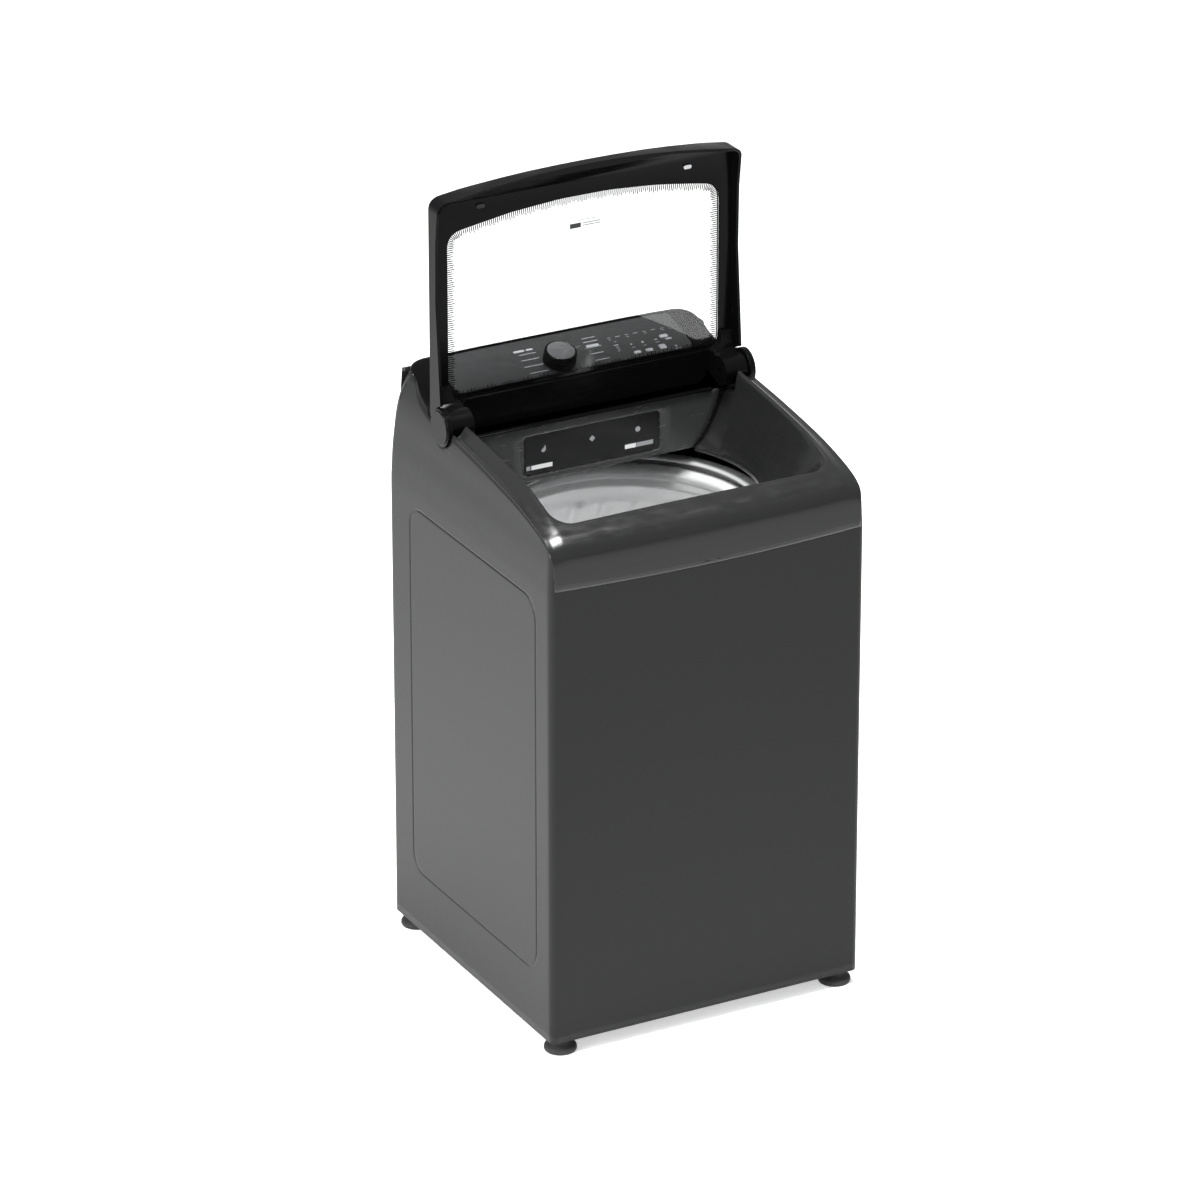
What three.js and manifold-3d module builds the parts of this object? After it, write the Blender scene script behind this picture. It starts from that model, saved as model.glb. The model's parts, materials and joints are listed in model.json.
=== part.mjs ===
// Top load washing machine, at rest with its glass lid open. Millimetres, +Z up, front towards -Y.
// The origin is on the floor, under the centre of the cabinet.
import * as THREE from 'three';
import { mergeGeometries, mergeVertices } from 'three/addons/utils/BufferGeometryUtils.js';
import Module from 'manifold-3d';

const wasm = await Module();
wasm.setup();

// ---------- driving dimensions ----------
const WIDTH = 622; // cabinet, side to side
const DEPTH = 618; // cabinet, front corner to back
const FOOT_HEIGHT = 28; // floor to the cabinet's bottom edge
const BODY_HEIGHT = 861; // straight part of the cabinet, above its bottom edge
const HINGE_ABOVE_BODY = 160; // lid axis above the straight part
const HINGE_FROM_BACK = 197; // lid axis in front of the cabinet's back
const SHEET = 1.2; // folded steel of the cabinet
const PLASTIC = 3; // moulded covers
const FRONT_BOW = 8; // how far the front swells at its middle
const TUB_ROOM = 34; // between the outer tub and the nearer cabinet wall
const TUB_DEPTH = 512;
const TUB_FLOOR_Z = 330;
const BASKET_ROOM = 22; // between the basket and the outer tub's outside
const RING_WIDTH = 25; // balance ring, across
const MOUTH_LIP = 35; // how far the tub cover's mouth stands inside the tub
const LID_INSET = 9; // lid edge inside the cabinet's side
const LID_SETBACK = 8; // lid edge behind the cabinet's front corners
const LID_BOW = 26; // how much longer the lid is at its middle
const LID_THICKNESS = 9.5;
const GLASS_THICKNESS = 4;
const DRAWER_WIDTH = 270;
const DRAWER_HEIGHT = 74;
const DRAWER_DEPTH = 150;
const KNOB_RADIUS = 30;
const KNOB_HEIGHT = 27;
const FOOT_RADIUS = 30;
const GAP = 0.4; // between pieces that touch
const SLIP = 0.35; // round a shaft or pin

// ---------- places that follow ----------
const HW = WIDTH / 2;
const HD = DEPTH / 2;
const TUB_RADIUS = Math.min(HW, HD) - TUB_ROOM; // outside
const BASKET_RADIUS = TUB_RADIUS - BASKET_ROOM; // outside
const RING_RADIUS = BASKET_RADIUS - RING_WIDTH; // inside
const MOUTH_RADIUS = TUB_RADIUS - MOUTH_LIP; // bottom of the well and the tub cover's mouth
const LID_HALF_WIDTH = HW - LID_INSET;
const LID_LENGTH = DEPTH - HINGE_FROM_BACK - LID_SETBACK; // axis to the lid's front edge at its corners
const SHOULDER = FOOT_HEIGHT + BODY_HEIGHT;
const HINGE_Y = HD - HINGE_FROM_BACK;
const HINGE_Z = SHOULDER + HINGE_ABOVE_BODY;
const TOP = HINGE_Z + 76; // above every part of the body
const TUB_TOP = TUB_FLOOR_Z + TUB_DEPTH;
const CONSOLE_FRONT = HINGE_Y + 59; // clear of the lid's rear rail as it swings
const CONSOLE_SLOPE = THREE.MathUtils.degToRad(17.5);
const WELL_BACK = HINGE_Y + 9;
const FAR = 900;

// ---------- materials ----------
const paint = (color, roughness, metalness = 0) =>
  new THREE.MeshStandardMaterial({ color, roughness, metalness });
const GREY_STEEL = paint(0x5c5d5e, 0.45, 0.4);
const GREY_GLOSS = paint(0x4d4f50, 0.2);
const BLACK_GLOSS = paint(0x121213, 0.15);
const BLACK_SATIN = paint(0x38393a, 0.4);
const LIGHT_PLASTIC = paint(0x8d9092, 0.5);
const STAINLESS = paint(0xc9cbcc, 0.25, 0.9);
const ZINC = paint(0xa6a9ab, 0.35, 0.8);
const RUBBER = paint(0x1d1d1e, 0.8);
const CAST = paint(0x9a9c9d, 0.5, 0.7);
const BOARD = paint(0x2f5d3a, 0.6);
const GLASS = new THREE.MeshStandardMaterial({
  color: 0xe8eeee, roughness: 0.05, transparent: true, opacity: 0.3,
});

// ---------- solids ----------
const solid = (geometry) => {
  const bare = geometry.index ? geometry.toNonIndexed() : geometry.clone();
  bare.deleteAttribute('normal');
  bare.deleteAttribute('uv');
  const merged = mergeVertices(bare, 1e-4);
  return new wasm.Manifold(
    new wasm.Mesh({
      numProp: 3,
      vertProperties: new Float32Array(merged.attributes.position.array),
      triVerts: new Uint32Array(merged.index.array),
    }),
  );
};
const cut = (base, ...tools) => tools.reduce((left, tool) => left.subtract(tool), base);
const join = (base, ...more) => more.reduce((sum, piece) => sum.add(piece), base);
const common = (base, ...more) => more.reduce((sum, piece) => sum.intersect(piece), base);

const group = new THREE.Group();
const put = (name, body, material) => {
  const made = body.getMesh();
  const geometry = new THREE.BufferGeometry();
  geometry.setAttribute('position', new THREE.BufferAttribute(new Float32Array(made.vertProperties), 3));
  geometry.setIndex(new THREE.BufferAttribute(new Uint32Array(made.triVerts), 1));
  geometry.computeVertexNormals();
  const mesh = new THREE.Mesh(geometry, material);
  mesh.name = name;
  group.add(mesh);
  return mesh;
};

const box = (x0, x1, y0, y1, z0, z1) =>
  solid(new THREE.BoxGeometry(x1 - x0, y1 - y0, z1 - z0)
    .translate((x0 + x1) / 2, (y0 + y1) / 2, (z0 + z1) / 2));

// a plan outline carried straight up
const prism = (shape, z0, z1, curveSegments = 4) =>
  solid(new THREE.ExtrudeGeometry(shape, { depth: z1 - z0, bevelEnabled: false, curveSegments })
    .translate(0, 0, z0));

// an outline of (y, z) points carried from x0 to x1
const ACROSS = new THREE.Matrix4().makeBasis(
  new THREE.Vector3(0, 1, 0),
  new THREE.Vector3(0, 0, 1),
  new THREE.Vector3(1, 0, 0),
);
const across = (points, x0, x1) => {
  const shape = new THREE.Shape(points.map(([y, z]) => new THREE.Vector2(y, z)));
  const made = new THREE.ExtrudeGeometry(shape, { depth: x1 - x0, bevelEnabled: false });
  return solid(made.translate(0, 0, x0).applyMatrix4(ACROSS));
};

// an outline of (x, z) carried from y0 to y1
const through = (shape, y0, y1, curveSegments = 5) =>
  solid(
    new THREE.ExtrudeGeometry(shape, { depth: y1 - y0, bevelEnabled: false, curveSegments })
      .rotateX(Math.PI / 2)
      .translate(0, y1, 0),
  );

const turned = (profile, segments = 48) =>
  solid(new THREE.LatheGeometry(profile.map(([r, z]) => new THREE.Vector2(r, z)), segments)
    .rotateX(Math.PI / 2));

// a round bar upright, one across and one front to back
const barShape = (radius, length, segments) => new THREE.CylinderGeometry(radius, radius, length, segments);
const rod = (radius, z0, z1, x = 0, y = 0, segments = 18) =>
  solid(barShape(radius, z1 - z0, segments).rotateX(Math.PI / 2).translate(x, y, (z0 + z1) / 2));

const axle = (radius, x0, x1, y, z, segments = 24) =>
  solid(barShape(radius, x1 - x0, segments).rotateZ(Math.PI / 2).translate((x0 + x1) / 2, y, z));

const spindle = (radius, y0, y1, x, z, segments = 16) =>
  solid(barShape(radius, y1 - y0, segments).translate(x, (y0 + y1) / 2, z));

const roundRect = (x0, x1, y0, y1, r) => {
  const shape = new THREE.Shape();
  shape.moveTo(x0 + r, y0);
  shape.lineTo(x1 - r, y0);
  shape.absarc(x1 - r, y0 + r, r, -Math.PI / 2, 0, false);
  shape.lineTo(x1, y1 - r);
  shape.absarc(x1 - r, y1 - r, r, 0, Math.PI / 2, false);
  shape.lineTo(x0 + r, y1);
  shape.absarc(x0 + r, y1 - r, r, Math.PI / 2, Math.PI, false);
  shape.lineTo(x0, y0 + r);
  shape.absarc(x0 + r, y0 + r, r, Math.PI, Math.PI * 1.5, false);
  return shape;
};

// straight-line table: the height of a curve at one place along it
const along = (points) => (at) => {
  if (at <= points[0][0]) return points[0][1];
  const next = points.findIndex(([p]) => p > at);
  if (next < 0) return points[points.length - 1][1];
  const [p0, v0] = points[next - 1];
  const [p1, v1] = points[next];
  return v0 + ((v1 - v0) * (at - p0)) / (p1 - p0);
};

// a stack of outlines with the same number of points, skinned and capped
const loft = (sections) => {
  const around = sections[0].length;
  const levels = sections.length - 1;
  const skin = new THREE.CylinderGeometry(1, 1, 1, around, levels);
  const place = skin.attributes.position;
  for (let i = 0; i < place.count; i += 1) {
    const level = Math.round((place.getY(i) + 0.5) * levels);
    const x = place.getX(i);
    const z = place.getZ(i);
    const middle = x * x + z * z < 0.25;
    const turn = Math.atan2(x, z) / (2 * Math.PI);
    const k = (Math.round(turn * around) + around) % around;
    const ring = sections[level];
    if (middle) {
      const sum = ring.reduce((s, p) => [s[0] + p[0], s[1] + p[1], s[2] + p[2]], [0, 0, 0]);
      place.setXYZ(i, sum[0] / around, sum[1] / around, sum[2] / around);
    } else {
      place.setXYZ(i, ring[k][0], ring[k][1], ring[k][2]);
    }
  }
  return solid(skin);
};

// everything between two height fields over a grid
const between = (low, high, xs, ys) => {
  const slab = new THREE.BoxGeometry(1, 1, 1, xs.length - 1, ys.length - 1, 1);
  const place = slab.attributes.position;
  for (let i = 0; i < place.count; i += 1) {
    const x = xs[Math.round((place.getX(i) + 0.5) * (xs.length - 1))];
    const y = ys[Math.round((place.getY(i) + 0.5) * (ys.length - 1))];
    const z = place.getZ(i) > 0 ? high(x, y) : low(x, y);
    place.setXYZ(i, x, y, z);
  }
  return solid(slab);
};

// ---------- the body's outer form ----------
// half width and back wall lean in above the shoulder
const halfWidth = along([
  [SHOULDER, HW],
  [SHOULDER + 51, HW - 2],
  [SHOULDER + 91, HW - 5],
  [SHOULDER + 123, HW - 7],
  [SHOULDER + 155, HW - 11],
  [SHOULDER + 191, HW - 20],
  [SHOULDER + 227, HW - 30],
  [TOP, HW - 32],
]);
const backWall = along([
  [SHOULDER, HD],
  [SHOULDER + 67, HD - 1],
  [SHOULDER + 151, HD - 8],
  [SHOULDER + 227, HD - 17],
  [TOP, HD - 18],
]);
const cornerRadius = along([
  [SHOULDER, 14],
  [SHOULDER + 123, 18],
  [SHOULDER + 227, 40],
]);
const bow = along([
  [FOOT_HEIGHT, 0],
  [SHOULDER, FRONT_BOW],
]);
const CORNER_STEPS = 3;
const FRONT_STEPS = 6;

const bodySection = (z, inset) => {
  const w = halfWidth(z) - inset;
  const back = backWall(z) - inset;
  const front = -HD + inset;
  const r = Math.max(cornerRadius(z) - inset, 4);
  const points = [];
  const arc = (cx, cy, from) => {
    for (let i = 0; i <= CORNER_STEPS; i += 1) {
      const a = THREE.MathUtils.degToRad(from + (90 * i) / CORNER_STEPS);
      points.push([cx + r * Math.cos(a), cy + r * Math.sin(a), z]);
    }
  };
  const swell = (x) => bow(z) * (1 - (x / (w - r)) ** 2);
  arc(-w + r, front + r, 180);
  for (let i = 1; i < FRONT_STEPS; i += 1) {
    const x = -(w - r) + (2 * (w - r) * i) / FRONT_STEPS;
    points.push([x, front - swell(x), z]);
  }
  arc(w - r, front + r, 270);
  arc(w - r, back - r, 0);
  arc(-w + r, back - r, 90);
  return points;
};
const BODY_LEVELS = [0, 51, 91, 123, 155, 191, 227].map((step) => SHOULDER + step);
const bodyForm = (inset, bottom = FOOT_HEIGHT, top = TOP) =>
  loft([bottom, ...BODY_LEVELS, top].map((z) => bodySection(z, inset)));

const outerForm = bodyForm(0);
const sheetInside = bodyForm(SHEET, FOOT_HEIGHT - 10, TOP + 10);
const plasticInside = bodyForm(PLASTIC, FOOT_HEIGHT - 10, TOP + 10);

// the long curve from the nose to the hinge, as a share of its run
const NOSE = 35;
const seamRun = (share) => -HD + NOSE + (HINGE_Y + HD - NOSE) * share;
// top edge of the steel side, front to back: (y, z)
const SEAM = [
  [-HD + 2, SHOULDER + 27],
  [-HD + 6, SHOULDER + 60],
  [-HD + 18, SHOULDER + 79],
  [-HD + NOSE, SHOULDER + 91],
  [seamRun(0.14), SHOULDER + 109],
  [seamRun(0.3), SHOULDER + 123],
  [seamRun(0.5), SHOULDER + 135],
  [seamRun(0.7), SHOULDER + 145],
  [seamRun(0.9), SHOULDER + 153],
  [HINGE_Y, SHOULDER + 157],
];
// the console's black end, behind the hinge: (y, z)
const CHEEK = [
  [HINGE_Y + 47, SHOULDER + 157],
  [HINGE_Y + 79, SHOULDER + 167],
  [HINGE_Y + 105, SHOULDER + 179],
  [HINGE_Y + 123, SHOULDER + 197],
  [HINGE_Y + 129, SHOULDER + 204],
  [FAR, SHOULDER + 206],
];
const SKIRT_BOTTOM = SHOULDER + 6; // bottom edge of the cover's front skirt
const aboveSeam = (lift) =>
  across(
    [
      [-FAR, SKIRT_BOTTOM + lift],
      [-HD + 2, SKIRT_BOTTOM + lift],
      ...SEAM.map(([y, z]) => [y, z + lift]),
      ...CHEEK.map(([y, z]) => [y, z + lift]),
      [FAR, FAR * 2],
      [-FAR, FAR * 2],
    ],
    -FAR,
    FAR,
  );
const seamHeight = along(SEAM);
const COVER_RISE = 2;
const RIM_FLAT = 7; // level strip that the lid's skirt sits over
const CROWN_RISE = 15;
const CROWN_WIDTH = 24;
const coverTop = (x, y) => {
  const bowed = y + FRONT_BOW * (1 - (x / HW) ** 2);
  const edge = halfWidth(seamHeight(bowed)) - Math.abs(x);
  const t = THREE.MathUtils.clamp((edge - RIM_FLAT) / CROWN_WIDTH, 0, 1);
  const fade = THREE.MathUtils.clamp((y + HD) / 150, 0.25, 1);
  return seamHeight(bowed) + COVER_RISE + CROWN_RISE * fade * Math.sin((t * Math.PI) / 2);
};
const LEFT_XS = [19, -5, -14, -23, -33, -43, -131, -221].map((out) => -HW - out);
const COVER_XS = [...LEFT_XS, 0, ...LEFT_XS.slice().reverse().map((x) => -x)];
const COVER_YS = [-HD - 21, -HD - 4, -HD + 2, -HD + 6, -HD + 12, -HD + 18, -HD + 26, -HD + NOSE,
  ...[0.06, 0.14, 0.3, 0.5, 0.7, 0.9].map(seamRun), HINGE_Y, FAR];
const under = (drop) => between(() => FOOT_HEIGHT - 20, (x, y) => coverTop(x, y) - drop, COVER_XS, COVER_YS);

// ---------- cabinet ----------
const FLANGE = 14; // return flange of the wrap at the back
const REAR_TOP = HINGE_Z + 8;
const CHEEK_HALF = HW - 52; // the console's back wall hangs lower between the cheeks
const capBore = (grow) => join(
  axle(35 + grow, halfWidth(HINGE_Z) - 8, FAR, HINGE_Y, HINGE_Z),
  axle(35 + grow, -FAR, -halfWidth(HINGE_Z) + 8, HINGE_Y, HINGE_Z),
);
const REAR_SHEET_Y = HD - 24;
const shellRing = outerForm.subtract(sheetInside);
const rearOpening = box(-HW + FLANGE, HW - FLANGE, HD - 60, FAR, FOOT_HEIGHT - 5, REAR_TOP);
const ROD_AT = { x: HW - 49, y: HD - 47 }; // suspension rods, from the centre each way
const GUSSET_Z = SHOULDER - 15;
const gussets = [-1, 1].flatMap((sx) => [-1, 1].map((sy) => {
  const corner = new THREE.Shape();
  corner.moveTo(sx * (HW - SHEET / 2), sy * (HD - SHEET / 2));
  corner.lineTo(sx * (HW - SHEET / 2), sy * (HD - 95));
  corner.lineTo(sx * (HW - 95), sy * (HD - SHEET / 2));
  corner.closePath();
  return cut(
    prism(corner, GUSSET_Z, GUSSET_Z + 4),
    rod(6, GUSSET_Z - 5, GUSSET_Z + 10, sx * ROD_AT.x, sy * ROD_AT.y, 12),
    box(-FAR, FAR, REAR_SHEET_Y - GAP, FAR, 0, FAR * 2),
  );
}));
const consoleBack = (grow) =>
  box(-CHEEK_HALF - grow, CHEEK_HALF + grow, HINGE_Y + 60, FAR, REAR_TOP + 1 - grow, FAR * 3);
const wrap = cut(shellRing, aboveSeam(-GAP), rearOpening, capBore(GAP), consoleBack(GAP));
put('cabinet_wrap', join(wrap, ...gussets.map((g) => common(g, outerForm))), GREY_STEEL);

const REAR_SHEET = 1; // thickness
const rearPlate = common(
  box(-HW + SHEET + 2, HW - SHEET - 2, REAR_SHEET_Y, REAR_SHEET_Y + REAR_SHEET, FOOT_HEIGHT + 4, REAR_TOP - 2),
  bodyForm(SHEET + GAP),
);
const CONNECTOR_Z = SHOULDER + 60;
const CONNECTOR_X = [HW - 126, HW - 61];
const DRAIN = { x: -ROD_AT.x + 72, z: SHOULDER - 30 };
const GLAND = { x: -HW + 71, z: SHOULDER + 60 };
const rearHoles = [
  ...CONNECTOR_X.map((x) => spindle(15 + GAP, REAR_SHEET_Y - 5, HD, x, CONNECTOR_Z)),
  spindle(17 + GAP, REAR_SHEET_Y - 5, HD, DRAIN.x, DRAIN.z),
  spindle(9 + GAP, REAR_SHEET_Y - 5, HD, GLAND.x, GLAND.z),
];
put('rear_panel', cut(rearPlate, ...rearHoles), GREY_STEEL);

const BASE_HEIGHT = 34;
const BASE_RAIL = 46;
const baseHole = box(-HW + BASE_RAIL, HW - BASE_RAIL, -HD + BASE_RAIL, HD - BASE_RAIL, 0, 200);
const FOOT_AT = { x: HW - 32, y: HD - 30 };
const STUD_RADIUS = 6;
const footPlaces = [['front_left', -1, -1], ['front_right', 1, -1], ['rear_left', -1, 1], ['rear_right', 1, 1]];
const baseRing = common(
  cut(
    outerForm,
    baseHole,
    box(-FAR, FAR, -FAR, FAR, FOOT_HEIGHT + BASE_HEIGHT, FAR * 3),
    box(-FAR, FAR, REAR_SHEET_Y - GAP, FAR, FOOT_HEIGHT + 3.6, FAR),
    ...footPlaces.map(([, sx, sy]) => rod(STUD_RADIUS + SLIP, 0, 200, sx * FOOT_AT.x, sy * FOOT_AT.y)),
  ),
  bodyForm(SHEET + GAP, FOOT_HEIGHT - 5),
);
const baseHollow = cut(
  box(-HW + 6, HW - 6, -HD + 6, HD - 30, FOOT_HEIGHT - 5, FOOT_HEIGHT + BASE_HEIGHT - 4),
  box(-HW + BASE_RAIL - 4, HW - BASE_RAIL + 4, -HD + BASE_RAIL - 4, HD - BASE_RAIL + 4, 0, 200),
  ...footPlaces.map(([, sx, sy]) =>
    box(sx * FOOT_AT.x - 26, sx * FOOT_AT.x + 26, sy * FOOT_AT.y - 24, sy * FOOT_AT.y + 24, 0, 200)),
);
put('base_frame', baseRing.subtract(baseHollow), ZINC);

for (const [place, sx, sy] of footPlaces) {
  const foot = turned([
    [0, 0],
    [FOOT_RADIUS - 2, 0],
    [FOOT_RADIUS, 3],
    [FOOT_RADIUS, 9],
    [FOOT_RADIUS - 3, 12],
    [16, 15],
    [15, FOOT_HEIGHT - GAP],
    [STUD_RADIUS, FOOT_HEIGHT - GAP],
    [STUD_RADIUS, FOOT_HEIGHT + BASE_HEIGHT + 8],
    [0, FOOT_HEIGHT + BASE_HEIGHT + 8],
  ], 18).translate([sx * FOOT_AT.x, sy * FOOT_AT.y, 0]);
  put(`foot_${place}`, foot, RUBBER);
}

// ---------- top cover with its well ----------
const OPEN_HALF = HW - 37;
const OPEN_FRONT = -HD + 50;
const OPEN_CORNER = 38;
const WELL_FLOOR = SHOULDER + 19;
// distance from the centre to the opening's rounded edge, in one direction
const openingReach = (a, inset) => {
  const w = OPEN_HALF - inset;
  const front = -OPEN_FRONT - inset;
  const back = WELL_BACK + 60;
  const dx = Math.cos(a);
  const dy = Math.sin(a);
  const limitY = dy < 0 ? front : back;
  const r = dy < 0 ? OPEN_CORNER : 30;
  const flat = Math.min(w / Math.max(Math.abs(dx), 1e-6), limitY / Math.max(Math.abs(dy), 1e-6));
  const px = Math.abs(dx * flat);
  const py = Math.abs(dy * flat);
  if (px > w - r && py > limitY - r) {
    const cx = w - r;
    const cy = limitY - r;
    const b = Math.abs(dx) * cx + Math.abs(dy) * cy;
    return b + Math.sqrt(Math.max(b * b - (cx * cx + cy * cy - r * r), 0));
  }
  return flat;
};
const WELL_STEPS = 44;
const WELL_RISE = [0, 0.2, 0.5, 1, 1.4];
const wellForm = (inset, drop) => loft(WELL_RISE.map((t) => {
  const ring = [];
  for (let i = 0; i < WELL_STEPS; i += 1) {
    const a = (2 * Math.PI * i) / WELL_STEPS;
    const reach = openingReach(a, inset);
    const share = Math.min(t, 1) ** 0.75;
    const r = (MOUTH_RADIUS - inset) * (1 - share) + reach * share;
    const x = r * Math.cos(a);
    const y = r * Math.sin(a);
    const rim = coverTop(reach * Math.cos(a), Math.min(reach * Math.sin(a), HINGE_Y));
    const low = WELL_FLOOR - drop;
    ring.push([x, y, low + (rim - low) * t]);
  }
  return ring;
}));
const wellOut = wellForm(-PLASTIC, 0);
const wellIn = wellForm(0, 1);
const beforeWellBack = box(-FAR, FAR, -FAR, WELL_BACK, 0, FAR * 3);
const backSheet = box(-FAR, FAR, WELL_BACK, WELL_BACK + PLASTIC, WELL_FLOOR + 2, HINGE_Z - 38);
const DRAWER_BOTTOM = WELL_FLOOR + 10;
const drawerFace = roundRect(
  -DRAWER_WIDTH / 2, DRAWER_WIDTH / 2, DRAWER_BOTTOM, DRAWER_BOTTOM + DRAWER_HEIGHT, 7);
const drawerHole = roundRect(
  -DRAWER_WIDTH / 2 - 1.5, DRAWER_WIDTH / 2 + 1.5, DRAWER_BOTTOM - 1.5, DRAWER_BOTTOM + DRAWER_HEIGHT + 1.5, 8);
const beforeConsole = box(-FAR, FAR, -FAR, HINGE_Y, 0, FAR * 3);
const coverSkin = common(
  outerForm.subtract(plasticInside.intersect(under(PLASTIC + 0.2))),
  under(0),
  aboveSeam(0),
  beforeConsole,
);
const POCKET_FRONT = HINGE_Y - 32;
const TROUGH_FLOOR = DRAWER_BOTTOM + DRAWER_HEIGHT - 17;
const hingeSpace = box(-HW + 12, HW - 12, POCKET_FRONT, FAR, HINGE_Z - 36, FAR * 3);
const troughSpace = box(-HW + 12, HW - 12, WELL_BACK + PLASTIC - 0.01, FAR, TROUGH_FLOOR - 3, FAR * 3);
const wellShell = common(
  join(wellOut.subtract(wellIn).intersect(beforeWellBack), wellOut.intersect(backSheet)),
  under(0.1),
);
const topCover = cut(
  join(cut(coverSkin, wellIn.intersect(beforeWellBack)), wellShell),
  hingeSpace,
  troughSpace,
  through(drawerHole, WELL_BACK - 40, WELL_BACK + 40),
  capBore(GAP),
);
put('top_cover', topCover, GREY_GLOSS);

// ---------- hinge trough, console and its face ----------
const TROUGH_HALF = HW - 14;
const troughLip = HINGE_Z - 37;
const trough = join(
  box(-TROUGH_HALF, TROUGH_HALF, WELL_BACK + PLASTIC + GAP, CONSOLE_FRONT - GAP,
    TROUGH_FLOOR, TROUGH_FLOOR + 3),
  box(-OPEN_HALF + 32, OPEN_HALF - 32, WELL_BACK - 5, WELL_BACK + PLASTIC + GAP + 2.6, troughLip, troughLip + 3),
  box(-OPEN_HALF + 32, OPEN_HALF - 32, WELL_BACK + PLASTIC + GAP, WELL_BACK + PLASTIC + GAP + 2.6, TROUGH_FLOOR,
    troughLip + 3),
  box(-TROUGH_HALF + 16, TROUGH_HALF - 16, CONSOLE_FRONT - 2 - GAP, CONSOLE_FRONT - GAP,
    TROUGH_FLOOR, HINGE_Z + 16),
);
put('hinge_trough', trough, BLACK_GLOSS);

const CONSOLE_RISE = 26; // console face above the hinge axis at its front edge
const CONSOLE_CROWN = 3; // how much lower its ends are
const consoleTop = (x, y) =>
  HINGE_Z + CONSOLE_RISE + (y - CONSOLE_FRONT) * Math.tan(CONSOLE_SLOPE)
  - CONSOLE_CROWN * (x / (HW - 36)) ** 4;
const CONSOLE_XS = [-HW - 19, -HW + 41, -HW + 111, 0, HW - 111, HW - 41, HW + 19];
const CONSOLE_YS = [CONSOLE_FRONT - 60, HD + 40];
const consoleLayer = (low, high) =>
  between((x, y) => consoleTop(x, y) - low, (x, y) => consoleTop(x, y) - high, CONSOLE_XS, CONSOLE_YS);
const consoleUnder = (drop) =>
  between(() => TUB_TOP, (x, y) => consoleTop(x, y) - drop, CONSOLE_XS, CONSOLE_YS);
const behindFront = (inset) => box(-FAR, FAR, CONSOLE_FRONT + inset, FAR, 0, FAR * 3);
const FACE_HALF = HW - 73;
const faceShape = (grow) =>
  roundRect(-FACE_HALF - grow, FACE_HALF + grow, CONSOLE_FRONT + 4 - grow, HD - 28 + grow, 16);
const KNOB = { x: -22, y: CONSOLE_FRONT + 35 };
KNOB.z = consoleTop(KNOB.x, KNOB.y);
const KEYS = [
  ['start_key', FACE_HALF - 58, CONSOLE_FRONT + 21, 13, 13],
  ['power_key', FACE_HALF - 42, CONSOLE_FRONT + 47, 16, 9],
  ['level_key', FACE_HALF - 110, CONSOLE_FRONT + 19, 14, 8],
  ['rinse_key', FACE_HALF - 86, CONSOLE_FRONT + 19, 14, 8],
];
const tilt = (body, x, y, z) =>
  body.rotate([THREE.MathUtils.radToDeg(CONSOLE_SLOPE), 0, 0]).translate([x, y, z]);
const keyBody = (grow, bottom, top, [, x, y, w, d]) =>
  tilt(prism(roundRect(-w / 2 - grow, w / 2 + grow, -d / 2 - grow, d / 2 + grow, 3), bottom, top, 4), x, y,
    consoleTop(x, y));
const KNOB_STEM = 5;
const knobHole = tilt(rod(KNOB_STEM + SLIP, -30, 30), KNOB.x, KNOB.y, KNOB.z);
const keyHoles = KEYS.map((key) => keyBody(GAP, -8, 8, key));
const consoleShell = cut(
  common(outerForm, join(aboveSeam(GAP), consoleBack(0)), behindFront(0), consoleUnder(0)),
  common(plasticInside, consoleUnder(PLASTIC + 1), behindFront(PLASTIC)),
  prism(faceShape(0), HINGE_Z, TOP + 20).intersect(consoleLayer(2.4, -40)),
  capBore(GAP),
  knobHole,
  ...keyHoles,
);
put('console_housing', consoleShell, BLACK_GLOSS);

put('console_face', cut(
  prism(faceShape(-GAP), HINGE_Z, TOP + 20).intersect(consoleLayer(2, 0.2)),
  knobHole,
  ...keyHoles,
), BLACK_SATIN);

const BOARD_Z = HINGE_Z - 4;
put('control_board', box(KNOB.x - KNOB_RADIUS - 18, FACE_HALF - 38, CONSOLE_FRONT + 30, CONSOLE_FRONT + 96,
  BOARD_Z, BOARD_Z + 2), BOARD);

const knob = tilt(turned([
  [0, -22],
  [KNOB_STEM, -22],
  [KNOB_STEM, 1.2],
  [KNOB_RADIUS - 2, 1.2],
  [KNOB_RADIUS, 3],
  [KNOB_RADIUS - 1, KNOB_HEIGHT - 1.5],
  [KNOB_RADIUS - 2.5, KNOB_HEIGHT],
  [0, KNOB_HEIGHT],
], 32), KNOB.x, KNOB.y, KNOB.z);
put('cycle_knob', knob, BLACK_SATIN);
for (const key of KEYS) put(key[0], keyBody(0, -6, 1.6, key), LIGHT_PLASTIC);

// ---------- hinge caps and pins ----------
const PIN_RADIUS = 6;
const CAP_IN = halfWidth(HINGE_Z) - 2;
const CAP_OUT = HW - 1;
const BARREL_IN = HW - 59;
const BARREL_OUT = CAP_IN - 1;
for (const [side, s] of [['left', -1], ['right', 1]]) {
  const span = (r, a, b, n = 24) =>
    axle(r, Math.min(s * a, s * b), Math.max(s * a, s * b), HINGE_Y, HINGE_Z, n);
  const cap = cut(join(span(34.6, CAP_IN + 1, CAP_OUT - 2), span(31, CAP_OUT - 3, CAP_OUT)),
    span(PIN_RADIUS + SLIP, CAP_IN - 5, CAP_OUT - 3));
  put(`hinge_cap_${side}`, cap, BLACK_GLOSS);
  put(`hinge_pin_${side}`, span(PIN_RADIUS, BARREL_IN + 8, CAP_OUT - 3 - GAP, 24), ZINC);
}

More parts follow.
